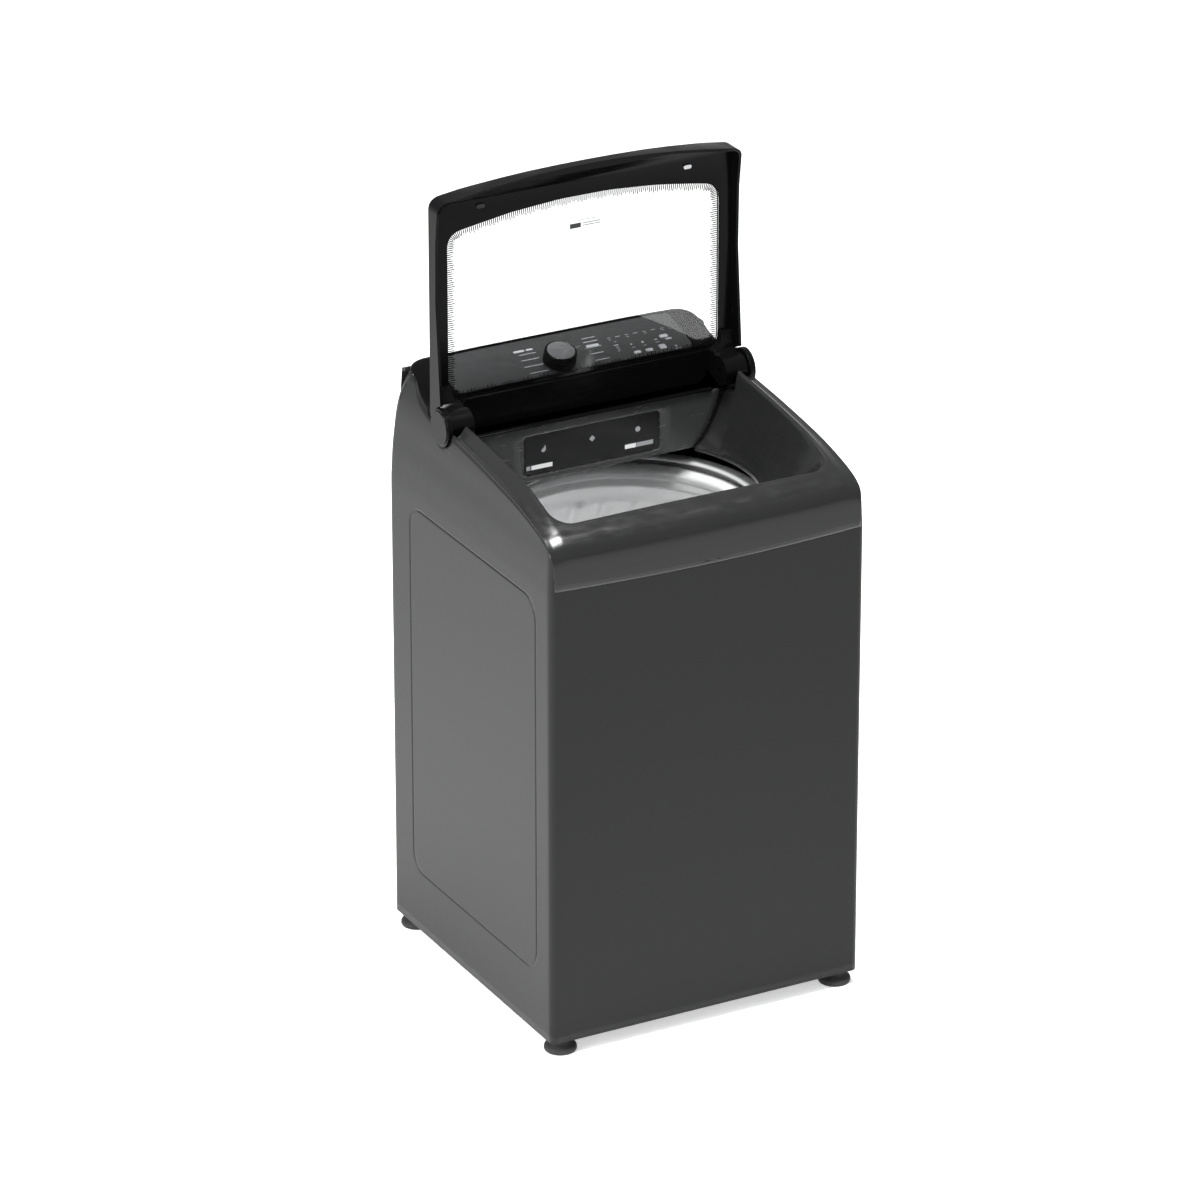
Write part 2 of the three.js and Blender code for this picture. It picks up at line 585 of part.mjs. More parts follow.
// ---------- lid: open at rest, hanging straight up from its axis ----------
const up = (s) => HINGE_Z + s;
const out = (n) => HINGE_Y + n;
const LID_BACK = 47; // outer face behind the axis
const lidEdge = (half, length, bowed, bottom, corner) => {
  const shape = new THREE.Shape();
  shape.moveTo(-half, up(bottom));
  shape.lineTo(half, up(bottom));
  shape.lineTo(half, up(length - corner));
  shape.quadraticCurveTo(half, up(length), half - corner, up(length + (bowed * corner) / half));
  shape.quadraticCurveTo(0, up(length + bowed * 1.9), -half + corner, up(length + (bowed * corner) / half));
  shape.quadraticCurveTo(-half, up(length), -half, up(length - corner));
  return shape;
};
const SKIRT = [[1, 6], [0.949, 14], [0.814, 21], [0.538, 23], [0.286, 15], [0.094, 8]].map(([share, n]) =>
  [LID_LENGTH * share, n]);
const lidProfile = [
  [out(LID_BACK), up(-14)],
  [out(LID_BACK), up(LID_LENGTH - 13)],
  [out(LID_BACK - 4), up(LID_LENGTH + 7)],
  [out(LID_BACK - 16), up(LID_LENGTH + 21)],
  [out(LID_BACK - 30), up(LID_LENGTH + 32)],
  [out(4), up(LID_LENGTH + 32)],
  ...SKIRT.map(([s, n]) => [out(n), up(s)]),
  [out(8), up(-14)],
];
const LID_CORNER = 24;
const lidBlock = common(
  across(lidProfile, -LID_HALF_WIDTH, LID_HALF_WIDTH),
  through(lidEdge(LID_HALF_WIDTH, LID_LENGTH, LID_BOW, -20, LID_CORNER), out(-20), out(60), 10),
);
const WALL = 5;
const lidHollow = common(
  across([
    [out(LID_BACK - LID_THICKNESS), up(-60)],
    [out(LID_BACK - LID_THICKNESS), up(LID_LENGTH - 17)],
    [out(LID_BACK - 20), up(LID_LENGTH + 12)],
    [out(-60), up(LID_LENGTH + 16)],
    [out(-60), up(-60)],
  ], -LID_HALF_WIDTH + WALL, LID_HALF_WIDTH - WALL),
  through(lidEdge(LID_HALF_WIDTH - WALL, LID_LENGTH - WALL, LID_BOW, -60, LID_CORNER - 4),
    out(-80), out(60), 10),
);
const GLASS_HALF = LID_HALF_WIDTH - 31;
const glassEdge = (grow) => {
  const r = 30;
  const w = GLASS_HALF + grow;
  const low = up(28 - grow);
  const high = up(LID_LENGTH - 71 + grow);
  const shape = new THREE.Shape();
  shape.moveTo(-w + r, low);
  shape.lineTo(w - r, low);
  shape.quadraticCurveTo(w, low, w, low + r);
  shape.lineTo(w, high - r);
  shape.quadraticCurveTo(w, high, w - r, high + 4);
  shape.quadraticCurveTo(0, high + 50, -w + r, high + 4);
  shape.quadraticCurveTo(-w, high, -w, high - r);
  shape.lineTo(-w, low + r);
  shape.quadraticCurveTo(-w, low, -w + r, low);
  return shape;
};
const GLASS_SEAT = 7;
const glassFront = LID_BACK - 1.6 - GLASS_THICKNESS;
const armCut = box(-BARREL_IN + 2, BARREL_IN - 2, out(-40), out(LID_BACK - LID_THICKNESS), up(-80), up(36));
const railShape = roundRect(-BARREL_IN + 7, BARREL_IN - 7, up(-31), up(30), 20);
const barrels = [-1, 1].map((s) => axle(27.5, Math.min(s * BARREL_IN, s * BARREL_OUT),
  Math.max(s * BARREL_IN, s * BARREL_OUT), HINGE_Y, HINGE_Z));
const pinBores = [-1, 1].map((s) => axle(PIN_RADIUS + SLIP, Math.min(s * (BARREL_IN - 5), s * FAR),
  Math.max(s * (BARREL_IN - 5), s * FAR), HINGE_Y, HINGE_Z, 24));
const armSolid = [-1, 1].map((s) => across([
  [out(LID_BACK), up(-14)],
  [out(LID_BACK), up(60)],
  [out(27), up(60)],
  [out(23), up(31)],
  [out(12), up(24)],
  [out(-24), up(6)],
  [out(10), up(-22)],
], Math.min(s * BARREL_IN, s * BARREL_OUT), Math.max(s * BARREL_IN, s * BARREL_OUT)));
const lidFrame = cut(
  join(
    cut(lidBlock, lidHollow, armCut, box(-FAR, FAR, -FAR, FAR, 0, up(-13))),
    through(railShape, out(LID_BACK - 12), out(LID_BACK - 1), 6),
    ...barrels,
    ...armSolid,
  ),
  through(glassEdge(0), out(-50), out(80)),
  through(glassEdge(GLASS_SEAT + GAP), out(glassFront - GAP), out(80)),
  ...pinBores,
  ...[-1, 1].map((s) =>
    axle(36.5, Math.min(s * BARREL_OUT, s * FAR), Math.max(s * BARREL_OUT, s * FAR), HINGE_Y, HINGE_Z)),
  ...[-1, 1].map((s) => box(Math.min(s * BARREL_OUT, s * FAR), Math.max(s * BARREL_OUT, s * FAR), out(-90), out(90),
    up(-90), up(5))),
);
put('lid_frame', lidFrame, BLACK_GLOSS);
put('lid_glass', through(glassEdge(GLASS_SEAT), out(glassFront), out(glassFront + GLASS_THICKNESS)), GLASS);
// underside pads near the front edge: a soft bumper on the left, the lock's strike on the right
const PAD = { x: HW - 106, s: LID_LENGTH - 29, half: 8, rise: 4, thick: 2.6 };
const pad = (x) => through(
  roundRect(x - PAD.half, x + PAD.half, up(PAD.s - PAD.rise), up(PAD.s + PAD.rise), PAD.rise - 0.1),
  out(LID_BACK - LID_THICKNESS - GAP - PAD.thick), out(LID_BACK - LID_THICKNESS - GAP), 4);
put('lid_bumper', pad(-PAD.x), RUBBER);
put('lid_strike', pad(PAD.x), ZINC);

// ---------- detergent drawer and its housing ----------
const HOUSING_WALL = 2.5;
const drawerBox = (grow, y0, y1) =>
  box(-DRAWER_WIDTH / 2 + 6 - grow, DRAWER_WIDTH / 2 - 6 + grow, y0, y1, DRAWER_BOTTOM + 4 - grow,
    DRAWER_BOTTOM + DRAWER_HEIGHT - 22 + grow);
const drawerFront = WELL_BACK + 0.2;
const BAY_ENDS = [
  [-DRAWER_WIDTH / 2 + 8, -50],
  [-42, 42],
  [50, DRAWER_WIDTH / 2 - 8],
];
const tray = cut(
  join(
    through(drawerFace, drawerFront, drawerFront + 2.9),
    drawerBox(0, drawerFront + 2, drawerFront + DRAWER_DEPTH),
  ),
  ...BAY_ENDS.map(([x0, x1]) => box(x0, x1, drawerFront + 8, drawerFront + DRAWER_DEPTH - 3,
    DRAWER_BOTTOM + 7, DRAWER_BOTTOM + DRAWER_HEIGHT)),
);
put('detergent_drawer', tray, GREY_GLOSS);
const HOUSING_Y0 = WELL_BACK + PLASTIC + GAP;
const HOUSING_Y1 = drawerFront + DRAWER_DEPTH + 4 + HOUSING_WALL;
const housing = cut(
  box(-DRAWER_WIDTH / 2 - 8, DRAWER_WIDTH / 2 + 8, HOUSING_Y0, HOUSING_Y1,
    DRAWER_BOTTOM - 4, TROUGH_FLOOR - GAP),
  box(-DRAWER_WIDTH / 2 - 2, DRAWER_WIDTH / 2 + 2, HOUSING_Y0 - 5, HOUSING_Y1 - HOUSING_WALL,
    DRAWER_BOTTOM - 1.2, DRAWER_BOTTOM + DRAWER_HEIGHT + 1.5),
  box(-60, 60, HOUSING_Y1 - 60, HOUSING_Y1 - 10, DRAWER_BOTTOM - 20, DRAWER_BOTTOM + 5),
);
put('dispenser_housing', housing, LIGHT_PLASTIC);

// ---------- water inlet, drain, cord gland, lid lock, level switch ----------
const REAR_REACH = HD + FRONT_BOW; // the connectors reach as far behind as the front bows ahead
const valve = join(
  box(CONNECTOR_X[0] - 20, CONNECTOR_X[1] + 20, REAR_SHEET_Y - 56, REAR_SHEET_Y - GAP,
    CONNECTOR_Z - 22, CONNECTOR_Z + 22),
  ...CONNECTOR_X.map((x) => spindle(13.5, REAR_SHEET_Y - 10, REAR_REACH, x, CONNECTOR_Z)),
);
put('inlet_valve', cut(valve,
  ...CONNECTOR_X.map((x) => spindle(8, REAR_SHEET_Y - 4, REAR_REACH + 5, x, CONNECTOR_Z))),
  LIGHT_PLASTIC);
const DRAIN_SLEEVE_Y = REAR_SHEET_Y - 26;
const elbow = cut(
  join(
    spindle(16, DRAIN_SLEEVE_Y, REAR_REACH, DRAIN.x, DRAIN.z),
    spindle(22, REAR_SHEET_Y + REAR_SHEET + GAP, REAR_SHEET_Y + 5, DRAIN.x, DRAIN.z),
    rod(20, DRAIN.z - 62, DRAIN.z + 20, DRAIN.x, DRAIN_SLEEVE_Y),
  ),
  spindle(12, DRAIN_SLEEVE_Y, REAR_REACH + 5, DRAIN.x, DRAIN.z),
  rod(16, DRAIN.z - 70, DRAIN.z + 14, DRAIN.x, DRAIN_SLEEVE_Y),
);
put('drain_elbow', elbow, LIGHT_PLASTIC);
const gland = cut(
  join(
    spindle(8.6, REAR_SHEET_Y - 8, REAR_SHEET_Y + 6, GLAND.x, GLAND.z),
    spindle(13, REAR_SHEET_Y + REAR_SHEET + GAP, REAR_SHEET_Y + 7, GLAND.x, GLAND.z),
  ),
  spindle(4.5, REAR_SHEET_Y - 20, REAR_SHEET_Y + 20, GLAND.x, GLAND.z),
);
put('cord_gland', gland, RUBBER);
put('lid_lock',
  box(PAD.x - 34, PAD.x + 34, -HD + 22, OPEN_FRONT - 12, SHOULDER + 30, SHOULDER + 66), LIGHT_PLASTIC);
put('level_switch', rod(24, HINGE_Z - 22, HINGE_Z - 2, -HW + 111, CONSOLE_FRONT + 60), LIGHT_PLASTIC);

// ---------- tub, its cover, drive and pump: they ride on the four rods ----------
const BORE_SPIN = 19;
const TUB_WALL = 3.5;
const lugs = [-1, 1].flatMap((sx) => [-1, 1].map((sy) => {
  const at = Math.hypot(ROD_AT.x, ROD_AT.y);
  return box(TUB_RADIUS - 12, at + 12, -16, 16, TUB_FLOOR_Z + 60, TUB_FLOOR_Z + 70)
    .subtract(rod(9, 0, FAR, at, 0, 16))
    .rotate([0, 0, THREE.MathUtils.radToDeg(Math.atan2(sy * ROD_AT.y, sx * ROD_AT.x))]);
}));
const tubShell = turned([
  [BORE_SPIN + 16, TUB_FLOOR_Z],
  [TUB_RADIUS - 26, TUB_FLOOR_Z],
  [TUB_RADIUS - 6, TUB_FLOOR_Z + 8],
  [TUB_RADIUS, TUB_FLOOR_Z + 30],
  [TUB_RADIUS, TUB_TOP],
  [TUB_RADIUS - TUB_WALL, TUB_TOP],
  [TUB_RADIUS - TUB_WALL, TUB_FLOOR_Z + 32],
  [TUB_RADIUS - 10, TUB_FLOOR_Z + 12],
  [TUB_RADIUS - 28, TUB_FLOOR_Z + TUB_WALL],
  [BORE_SPIN + 16, TUB_FLOOR_Z + TUB_WALL],
  [BORE_SPIN + 16, TUB_FLOOR_Z],
], 36);
const lugTrim = rod(TUB_RADIUS - TUB_WALL, 0, FAR, 0, 0, 36);
put('outer_tub', join(tubShell, ...lugs.map((lug) => lug.subtract(lugTrim))), LIGHT_PLASTIC);

const COVER_MOUTH_Z = SHOULDER - 13;
const tubCover = turned([
  [TUB_RADIUS - 8, TUB_TOP + GAP],
  [TUB_RADIUS + 3, TUB_TOP + GAP],
  [TUB_RADIUS + 3, TUB_TOP + 6],
  [TUB_RADIUS - 8, COVER_MOUTH_Z - 2],
  [MOUTH_RADIUS + 8, COVER_MOUTH_Z],
  [MOUTH_RADIUS, COVER_MOUTH_Z - 3],
  [MOUTH_RADIUS, COVER_MOUTH_Z - 7],
  [MOUTH_RADIUS + 8, COVER_MOUTH_Z - 5],
  [TUB_RADIUS - 10, COVER_MOUTH_Z - 8],
  [TUB_RADIUS - 8, TUB_TOP + GAP],
], 36);
const TONGUE = { half: DRAWER_WIDTH / 2, reach: MOUTH_RADIUS - 70 };
const tongue = cut(
  common(
    turned([[0, COVER_MOUTH_Z - 6], [TUB_RADIUS - 10, COVER_MOUTH_Z - 6], [TUB_RADIUS - 10, COVER_MOUTH_Z - 3],
      [0, COVER_MOUTH_Z - 3]], 36),
    box(-TONGUE.half, TONGUE.half, TONGUE.reach, TUB_RADIUS, 0, FAR * 2),
  ),
);
put('tub_cover', join(tubCover, tongue), LIGHT_PLASTIC);

const RING_TOP = COVER_MOUTH_Z - 18;
const RING_BOTTOM = RING_TOP - 40;
put('balance_ring', turned([
  [RING_RADIUS + 4, RING_BOTTOM],
  [BASKET_RADIUS + 3, RING_BOTTOM],
  [BASKET_RADIUS + 3, RING_TOP - 6],
  [BASKET_RADIUS - 3, RING_TOP],
  [RING_RADIUS + 12, RING_TOP],
  [RING_RADIUS + 3, RING_TOP - 5],
  [RING_RADIUS, RING_TOP - 14],
  [RING_RADIUS, RING_BOTTOM + 5],
  [RING_RADIUS + 4, RING_BOTTOM],
], 36), LIGHT_PLASTIC);

const BASKET_FLOOR = TUB_FLOOR_Z + 44;
const BASKET_WALL = 1;
put('basket', turned([
  [BORE_SPIN + 16, BASKET_FLOOR],
  [BASKET_RADIUS - 30, BASKET_FLOOR],
  [BASKET_RADIUS - 8, BASKET_FLOOR + 9],
  [BASKET_RADIUS, BASKET_FLOOR + 30],
  [BASKET_RADIUS, RING_BOTTOM - GAP],
  [BASKET_RADIUS - BASKET_WALL, RING_BOTTOM - GAP],
  [BASKET_RADIUS - BASKET_WALL, BASKET_FLOOR + 31],
  [BASKET_RADIUS - 9.5, BASKET_FLOOR + 11],
  [BASKET_RADIUS - 31, BASKET_FLOOR + BASKET_WALL],
  [BORE_SPIN + 16, BASKET_FLOOR + BASKET_WALL],
  [BORE_SPIN + 16, BASKET_FLOOR],
], 36), STAINLESS);

const SHAFT_RADIUS = 9;
const GEARCASE_BOTTOM = TUB_FLOOR_Z - 92;
const BEARING_TOP = TUB_FLOOR_Z + 22;
put('basket_hub', turned([
  [SHAFT_RADIUS + SLIP, GEARCASE_BOTTOM + 20],
  [BORE_SPIN, GEARCASE_BOTTOM + 20],
  [BORE_SPIN, BEARING_TOP + 8],
  [150, BASKET_FLOOR - 12],
  [150, BASKET_FLOOR - GAP],
  [BORE_SPIN + 15, BASKET_FLOOR - GAP],
  [BORE_SPIN + 15, BASKET_FLOOR + 3],
  [SHAFT_RADIUS + SLIP, BASKET_FLOOR + 3],
  [SHAFT_RADIUS + SLIP, GEARCASE_BOTTOM + 20],
], 24), CAST);

const IMPELLER_RADIUS = BASKET_RADIUS - 75;
const impellerDisc = turned([
  [SHAFT_RADIUS + SLIP, BASKET_FLOOR + 5],
  [IMPELLER_RADIUS - 6, BASKET_FLOOR + 5],
  [IMPELLER_RADIUS, BASKET_FLOOR + 9],
  [IMPELLER_RADIUS - 8, BASKET_FLOOR + 15],
  [90, BASKET_FLOOR + 11],
  [46, BASKET_FLOOR + 26],
  [24, BASKET_FLOOR + 34],
  [SHAFT_RADIUS + SLIP, BASKET_FLOOR + 34],
  [SHAFT_RADIUS + SLIP, BASKET_FLOOR + 5],
], 24);
const fins = [];
for (let i = 0; i < 6; i += 1) {
  fins.push(across([
    [28, BASKET_FLOOR + 8],
    [IMPELLER_RADIUS - 10, BASKET_FLOOR + 8],
    [IMPELLER_RADIUS - 16, BASKET_FLOOR + 26],
    [60, BASKET_FLOOR + 32],
    [28, BASKET_FLOOR + 33],
  ], -6, 6).rotate([0, 0, 60 * i]));
}
put('impeller', join(impellerDisc, ...fins), LIGHT_PLASTIC);
put('impeller_bolt', join(rod(15, BASKET_FLOOR + 34 + GAP, BASKET_FLOOR + 40, 0, 0, 6),
  rod(10, BASKET_FLOOR + 38, BASKET_FLOOR + 44, 0, 0, 16)), STAINLESS);

const PULLEY_Z = GEARCASE_BOTTOM - 34;
put('drive_shaft', rod(SHAFT_RADIUS, PULLEY_Z - 6, BASKET_FLOOR + 34, 0, 0, 24), CAST);
const PULLEY_RADIUS = 78;
const MOTOR_PULLEY_RADIUS = 24;
const MOTOR_AT = { x: 0, y: -165 };
const pulley = (r, bore, x, y) => turned([
  [bore, PULLEY_Z],
  [r + 3, PULLEY_Z],
  [r, PULLEY_Z + 3],
  [r, PULLEY_Z + 13],
  [r + 3, PULLEY_Z + 16],
  [bore, PULLEY_Z + 16],
  [bore, PULLEY_Z],
], 28).translate([x, y, 0]);
put('drive_pulley', pulley(PULLEY_RADIUS, SHAFT_RADIUS + SLIP, 0, 0), CAST);
put('motor_pulley', pulley(MOTOR_PULLEY_RADIUS, 6 + SLIP, MOTOR_AT.x, MOTOR_AT.y), CAST);
put('motor_shaft', rod(6, PULLEY_Z - 3, GEARCASE_BOTTOM + 2 - GAP, MOTOR_AT.x, MOTOR_AT.y, 20), ZINC);

// the belt wraps both pulleys and runs straight between them
const beltShape = (grow) => {
  const big = PULLEY_RADIUS + GAP + grow;
  const small = MOTOR_PULLEY_RADIUS + GAP + grow;
  const lean = Math.asin((big - small) / Math.abs(MOTOR_AT.y));
  const shape = new THREE.Shape();
  shape.absarc(0, 0, big, -lean, Math.PI + lean, false);
  shape.absarc(MOTOR_AT.x, MOTOR_AT.y, small, Math.PI + lean, 2 * Math.PI - lean, false);
  return shape;
};
put('drive_belt', prism(beltShape(5), PULLEY_Z + 3.5, PULLEY_Z + 12.5, 14)
  .subtract(prism(beltShape(0), PULLEY_Z, PULLEY_Z + 20, 14)), RUBBER);

put('gearcase', turned([
  [BORE_SPIN + SLIP, GEARCASE_BOTTOM],
  [58, GEARCASE_BOTTOM],
  [66, GEARCASE_BOTTOM + 10],
  [66, TUB_FLOOR_Z - 26],
  [98, TUB_FLOOR_Z - 12],
  [98, TUB_FLOOR_Z - 6 - GAP],
  [BORE_SPIN + SLIP, TUB_FLOOR_Z - 6 - GAP],
  [BORE_SPIN + SLIP, GEARCASE_BOTTOM],
], 28).subtract(rod(SHAFT_RADIUS + 3, GEARCASE_BOTTOM - 5, GEARCASE_BOTTOM + 30)), CAST);
const plateHole = rod(BORE_SPIN + 4, 0, FAR);
put('motor_plate',
  box(-105, 105, MOTOR_AT.y - 70, 120, TUB_FLOOR_Z - 6, TUB_FLOOR_Z - GAP).subtract(plateHole), ZINC);
put('drive_motor', cut(
  rod(62, GEARCASE_BOTTOM + 2, TUB_FLOOR_Z - 6 - GAP, MOTOR_AT.x, MOTOR_AT.y, 32),
  rod(72, 0, FAR, 0, -20, 32),
), BLACK_SATIN);
put('main_bearing', turned([
  [BORE_SPIN + SLIP, TUB_FLOOR_Z + 0.6],
  [BORE_SPIN + 15.4, TUB_FLOOR_Z + 0.6],
  [BORE_SPIN + 15.4, TUB_FLOOR_Z + 14],
  [BORE_SPIN + SLIP, TUB_FLOOR_Z + 14],
  [BORE_SPIN + SLIP, TUB_FLOOR_Z + 0.6],
], 24), STAINLESS);
put('shaft_seal', turned([
  [BORE_SPIN + SLIP, TUB_FLOOR_Z + 14 + GAP],
  [BORE_SPIN + 13, TUB_FLOOR_Z + 14 + GAP],
  [BORE_SPIN + 8, BEARING_TOP],
  [BORE_SPIN + SLIP, BEARING_TOP],
  [BORE_SPIN + SLIP, TUB_FLOOR_Z + 14 + GAP],
], 24), RUBBER);

const PUMP = { x: DRAIN.x + 38, y: REAR_SHEET_Y - 165 };
put('drain_pump', join(
  rod(38, TUB_FLOOR_Z - 62, TUB_FLOOR_Z - GAP, PUMP.x, PUMP.y, 28),
  spindle(13, PUMP.y, PUMP.y + 50, PUMP.x, TUB_FLOOR_Z - 40, 20),
), BLACK_SATIN);

// drain hose: from the pump round the tub's back corner and up into the elbow's sleeve
const HOSE_RADIUS = 13;
const hosePath = new THREE.CatmullRomCurve3([
  [PUMP.x, PUMP.y + 51, TUB_FLOOR_Z - 40],
  [PUMP.x, PUMP.y + 66, TUB_FLOOR_Z - 40],
  [PUMP.x - 4, PUMP.y + 90, TUB_FLOOR_Z - 36],
  [DRAIN.x + 12, DRAIN_SLEEVE_Y - 20, TUB_FLOOR_Z - 10],
  [DRAIN.x, DRAIN_SLEEVE_Y, TUB_FLOOR_Z + 60],
  [DRAIN.x, DRAIN_SLEEVE_Y, TUB_FLOOR_Z + 220],
  [DRAIN.x, DRAIN_SLEEVE_Y, DRAIN.z - 30],
].map((p) => new THREE.Vector3(...p)));
const hoseSection = new THREE.Shape();
hoseSection.absarc(0, 0, HOSE_RADIUS, 0, 2 * Math.PI, false);
put('drain_hose', solid(new THREE.ExtrudeGeometry(hoseSection, {
  steps: 18, curveSegments: 4, bevelEnabled: false, extrudePath: hosePath,
})), RUBBER);

// ---------- suspension: a rod from each corner, a spring under each tub lug ----------
const LUG_BOTTOM = TUB_FLOOR_Z + 60;
const SPRING_TOP = LUG_BOTTOM - 8;
const SPRING_BOTTOM = SPRING_TOP - 78;
const springPath = (x, y) => {
  const points = [];
  const TURNS = 5;
  const STEPS = TURNS * 6;
  for (let i = 0; i <= STEPS; i += 1) {
    const a = (2 * Math.PI * TURNS * i) / STEPS;
    points.push(new THREE.Vector3(x + 15 * Math.cos(a), y + 15 * Math.sin(a),
      SPRING_BOTTOM + 2.6 + ((SPRING_TOP - SPRING_BOTTOM - 5.2) * i) / STEPS));
  }
  return new THREE.CatmullRomCurve3(points);
};
for (const [place, sx, sy] of footPlaces) {
  const x = sx * ROD_AT.x;
  const y = sy * ROD_AT.y;
  const hanger = turned([
    [0, SPRING_BOTTOM - 8],
    [22, SPRING_BOTTOM - 8],
    [22, SPRING_BOTTOM - GAP],
    [3.5, SPRING_BOTTOM - GAP],
    [3.5, GUSSET_Z + 4 + GAP],
    [12, GUSSET_Z + 4 + GAP],
    [9, GUSSET_Z + 14],
    [0, GUSSET_Z + 16],
  ], 16).translate([x, y, 0]);
  put(`hanger_rod_${place}`, hanger, ZINC);
  const wire = new THREE.Shape();
  wire.absarc(0, 0, 2.2, 0, 2 * Math.PI, false);
  put(`hanger_spring_${place}`, solid(new THREE.ExtrudeGeometry(wire, {
    steps: 30, curveSegments: 2, bevelEnabled: false, extrudePath: springPath(x, y),
  })), ZINC);
}

export default group;
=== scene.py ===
"""Top load washing machine with a glass lid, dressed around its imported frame.

Everything is in metres in the frame's own axes: +Z up, -Y towards the user, +X to the user's right.
Each visible surface is a grid or a carried profile worked out with numpy from the frame's own boxes.
"""

import json
import math

import bmesh
import bpy
import numpy as np
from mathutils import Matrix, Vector


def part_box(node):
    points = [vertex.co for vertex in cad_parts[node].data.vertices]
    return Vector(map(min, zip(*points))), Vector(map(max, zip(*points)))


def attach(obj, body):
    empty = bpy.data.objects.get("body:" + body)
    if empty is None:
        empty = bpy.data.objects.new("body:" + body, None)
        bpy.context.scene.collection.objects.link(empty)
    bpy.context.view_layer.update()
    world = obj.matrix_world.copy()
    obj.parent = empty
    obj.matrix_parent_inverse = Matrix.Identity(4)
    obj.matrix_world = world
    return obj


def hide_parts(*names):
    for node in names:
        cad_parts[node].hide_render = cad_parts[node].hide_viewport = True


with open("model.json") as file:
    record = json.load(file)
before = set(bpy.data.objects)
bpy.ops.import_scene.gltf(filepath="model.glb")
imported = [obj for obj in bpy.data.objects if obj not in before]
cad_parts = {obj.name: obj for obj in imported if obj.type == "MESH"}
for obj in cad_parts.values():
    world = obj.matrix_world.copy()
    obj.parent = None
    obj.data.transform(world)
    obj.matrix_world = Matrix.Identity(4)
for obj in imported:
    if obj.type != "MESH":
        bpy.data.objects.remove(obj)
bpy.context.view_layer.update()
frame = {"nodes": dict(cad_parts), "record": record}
MM = 0.001


# ---------------------------------------------------------------- camera, light and floor
LENS = 207.7  # focal length in millimetres on a 36 mm sensor
VIEW_TURN, VIEW_RISE = -28.28, 24.02  # degrees round from the front, and up
VIEW_DISTANCE = 12.31
LOOKS_AT = (-0.028, 0.040, 0.689)


def make_camera():
    """The camera stands in front and to the left, a little above the machine, with a long lens."""
    camera = bpy.data.cameras.new("camera")
    camera.lens = LENS
    camera.sensor_width = 36
    camera.clip_end = 100
    holder = bpy.data.objects.new("camera", camera)
    bpy.context.scene.collection.objects.link(holder)
    aim = Vector(LOOKS_AT)
    turn, rise = math.radians(VIEW_TURN), math.radians(VIEW_RISE)
    back = Vector((math.sin(turn) * math.cos(rise), -math.cos(turn) * math.cos(rise), math.sin(rise)))
    holder.location = aim + back * VIEW_DISTANCE
    holder.rotation_mode = "QUATERNION"
    holder.rotation_quaternion = (-back).to_track_quat("-Z", "Y")
    bpy.context.scene.camera = holder


def area_light(name, place, aim, size, power):
    """A soft square light at place, pointed at aim."""
    light = bpy.data.lights.new(name, "AREA")
    light.shape = "RECTANGLE"
    light.size, light.size_y = size
    light.energy = power
    holder = bpy.data.objects.new(name, light)
    bpy.context.scene.collection.objects.link(holder)
    holder.location = place
    direction = Vector(aim) - Vector(place)
    holder.rotation_euler = direction.to_track_quat("-Z", "Y").to_euler()


def make_light():
    """A white room with a broad light from the left and one above, shown with plain contrast."""
    world = bpy.data.worlds.new("room")
    world.use_nodes = True
    sky = world.node_tree.nodes["Background"]
    sky.inputs["Color"].default_value = (1, 1, 1, 1)
    sky.inputs["Strength"].default_value = 0.5
    bpy.context.scene.world = world
    bpy.context.scene.view_settings.view_transform = "Standard"
    area_light("left_light", (-4.2, -0.6, 2.2), (0, 0, 0.6), (2.6, 2.6), 260)
    area_light("top_light", (-0.1, -0.5, 4.4), (0, 0, 0.9), (1.6, 1.6), 400)


def make_floor():
    """A plain pale floor, not part of the machine."""
    reach = 30.0
    mesh = bpy.data.meshes.new("floor")
    places = [(-reach, -reach, 0), (reach, -reach, 0), (reach, reach, 0), (-reach, reach, 0)]
    mesh.from_pydata(places, [], [(0, 1, 2, 3)])
    floor = bpy.data.objects.new("floor", mesh)
    bpy.context.scene.collection.objects.link(floor)
    material = bpy.data.materials.new("floor")
    material.use_nodes = True
    shader = material.node_tree.nodes["Principled BSDF"]
    shader.inputs["Base Color"].default_value = (0.93, 0.93, 0.93, 1)
    shader.inputs["Roughness"].default_value = 0.9
    shader.inputs["Specular IOR Level"].default_value = 0.1
    shader.inputs["Emission Color"].default_value = (1, 1, 1, 1)
    shader.inputs["Emission Strength"].default_value = 0.45
    mesh.materials.append(material)


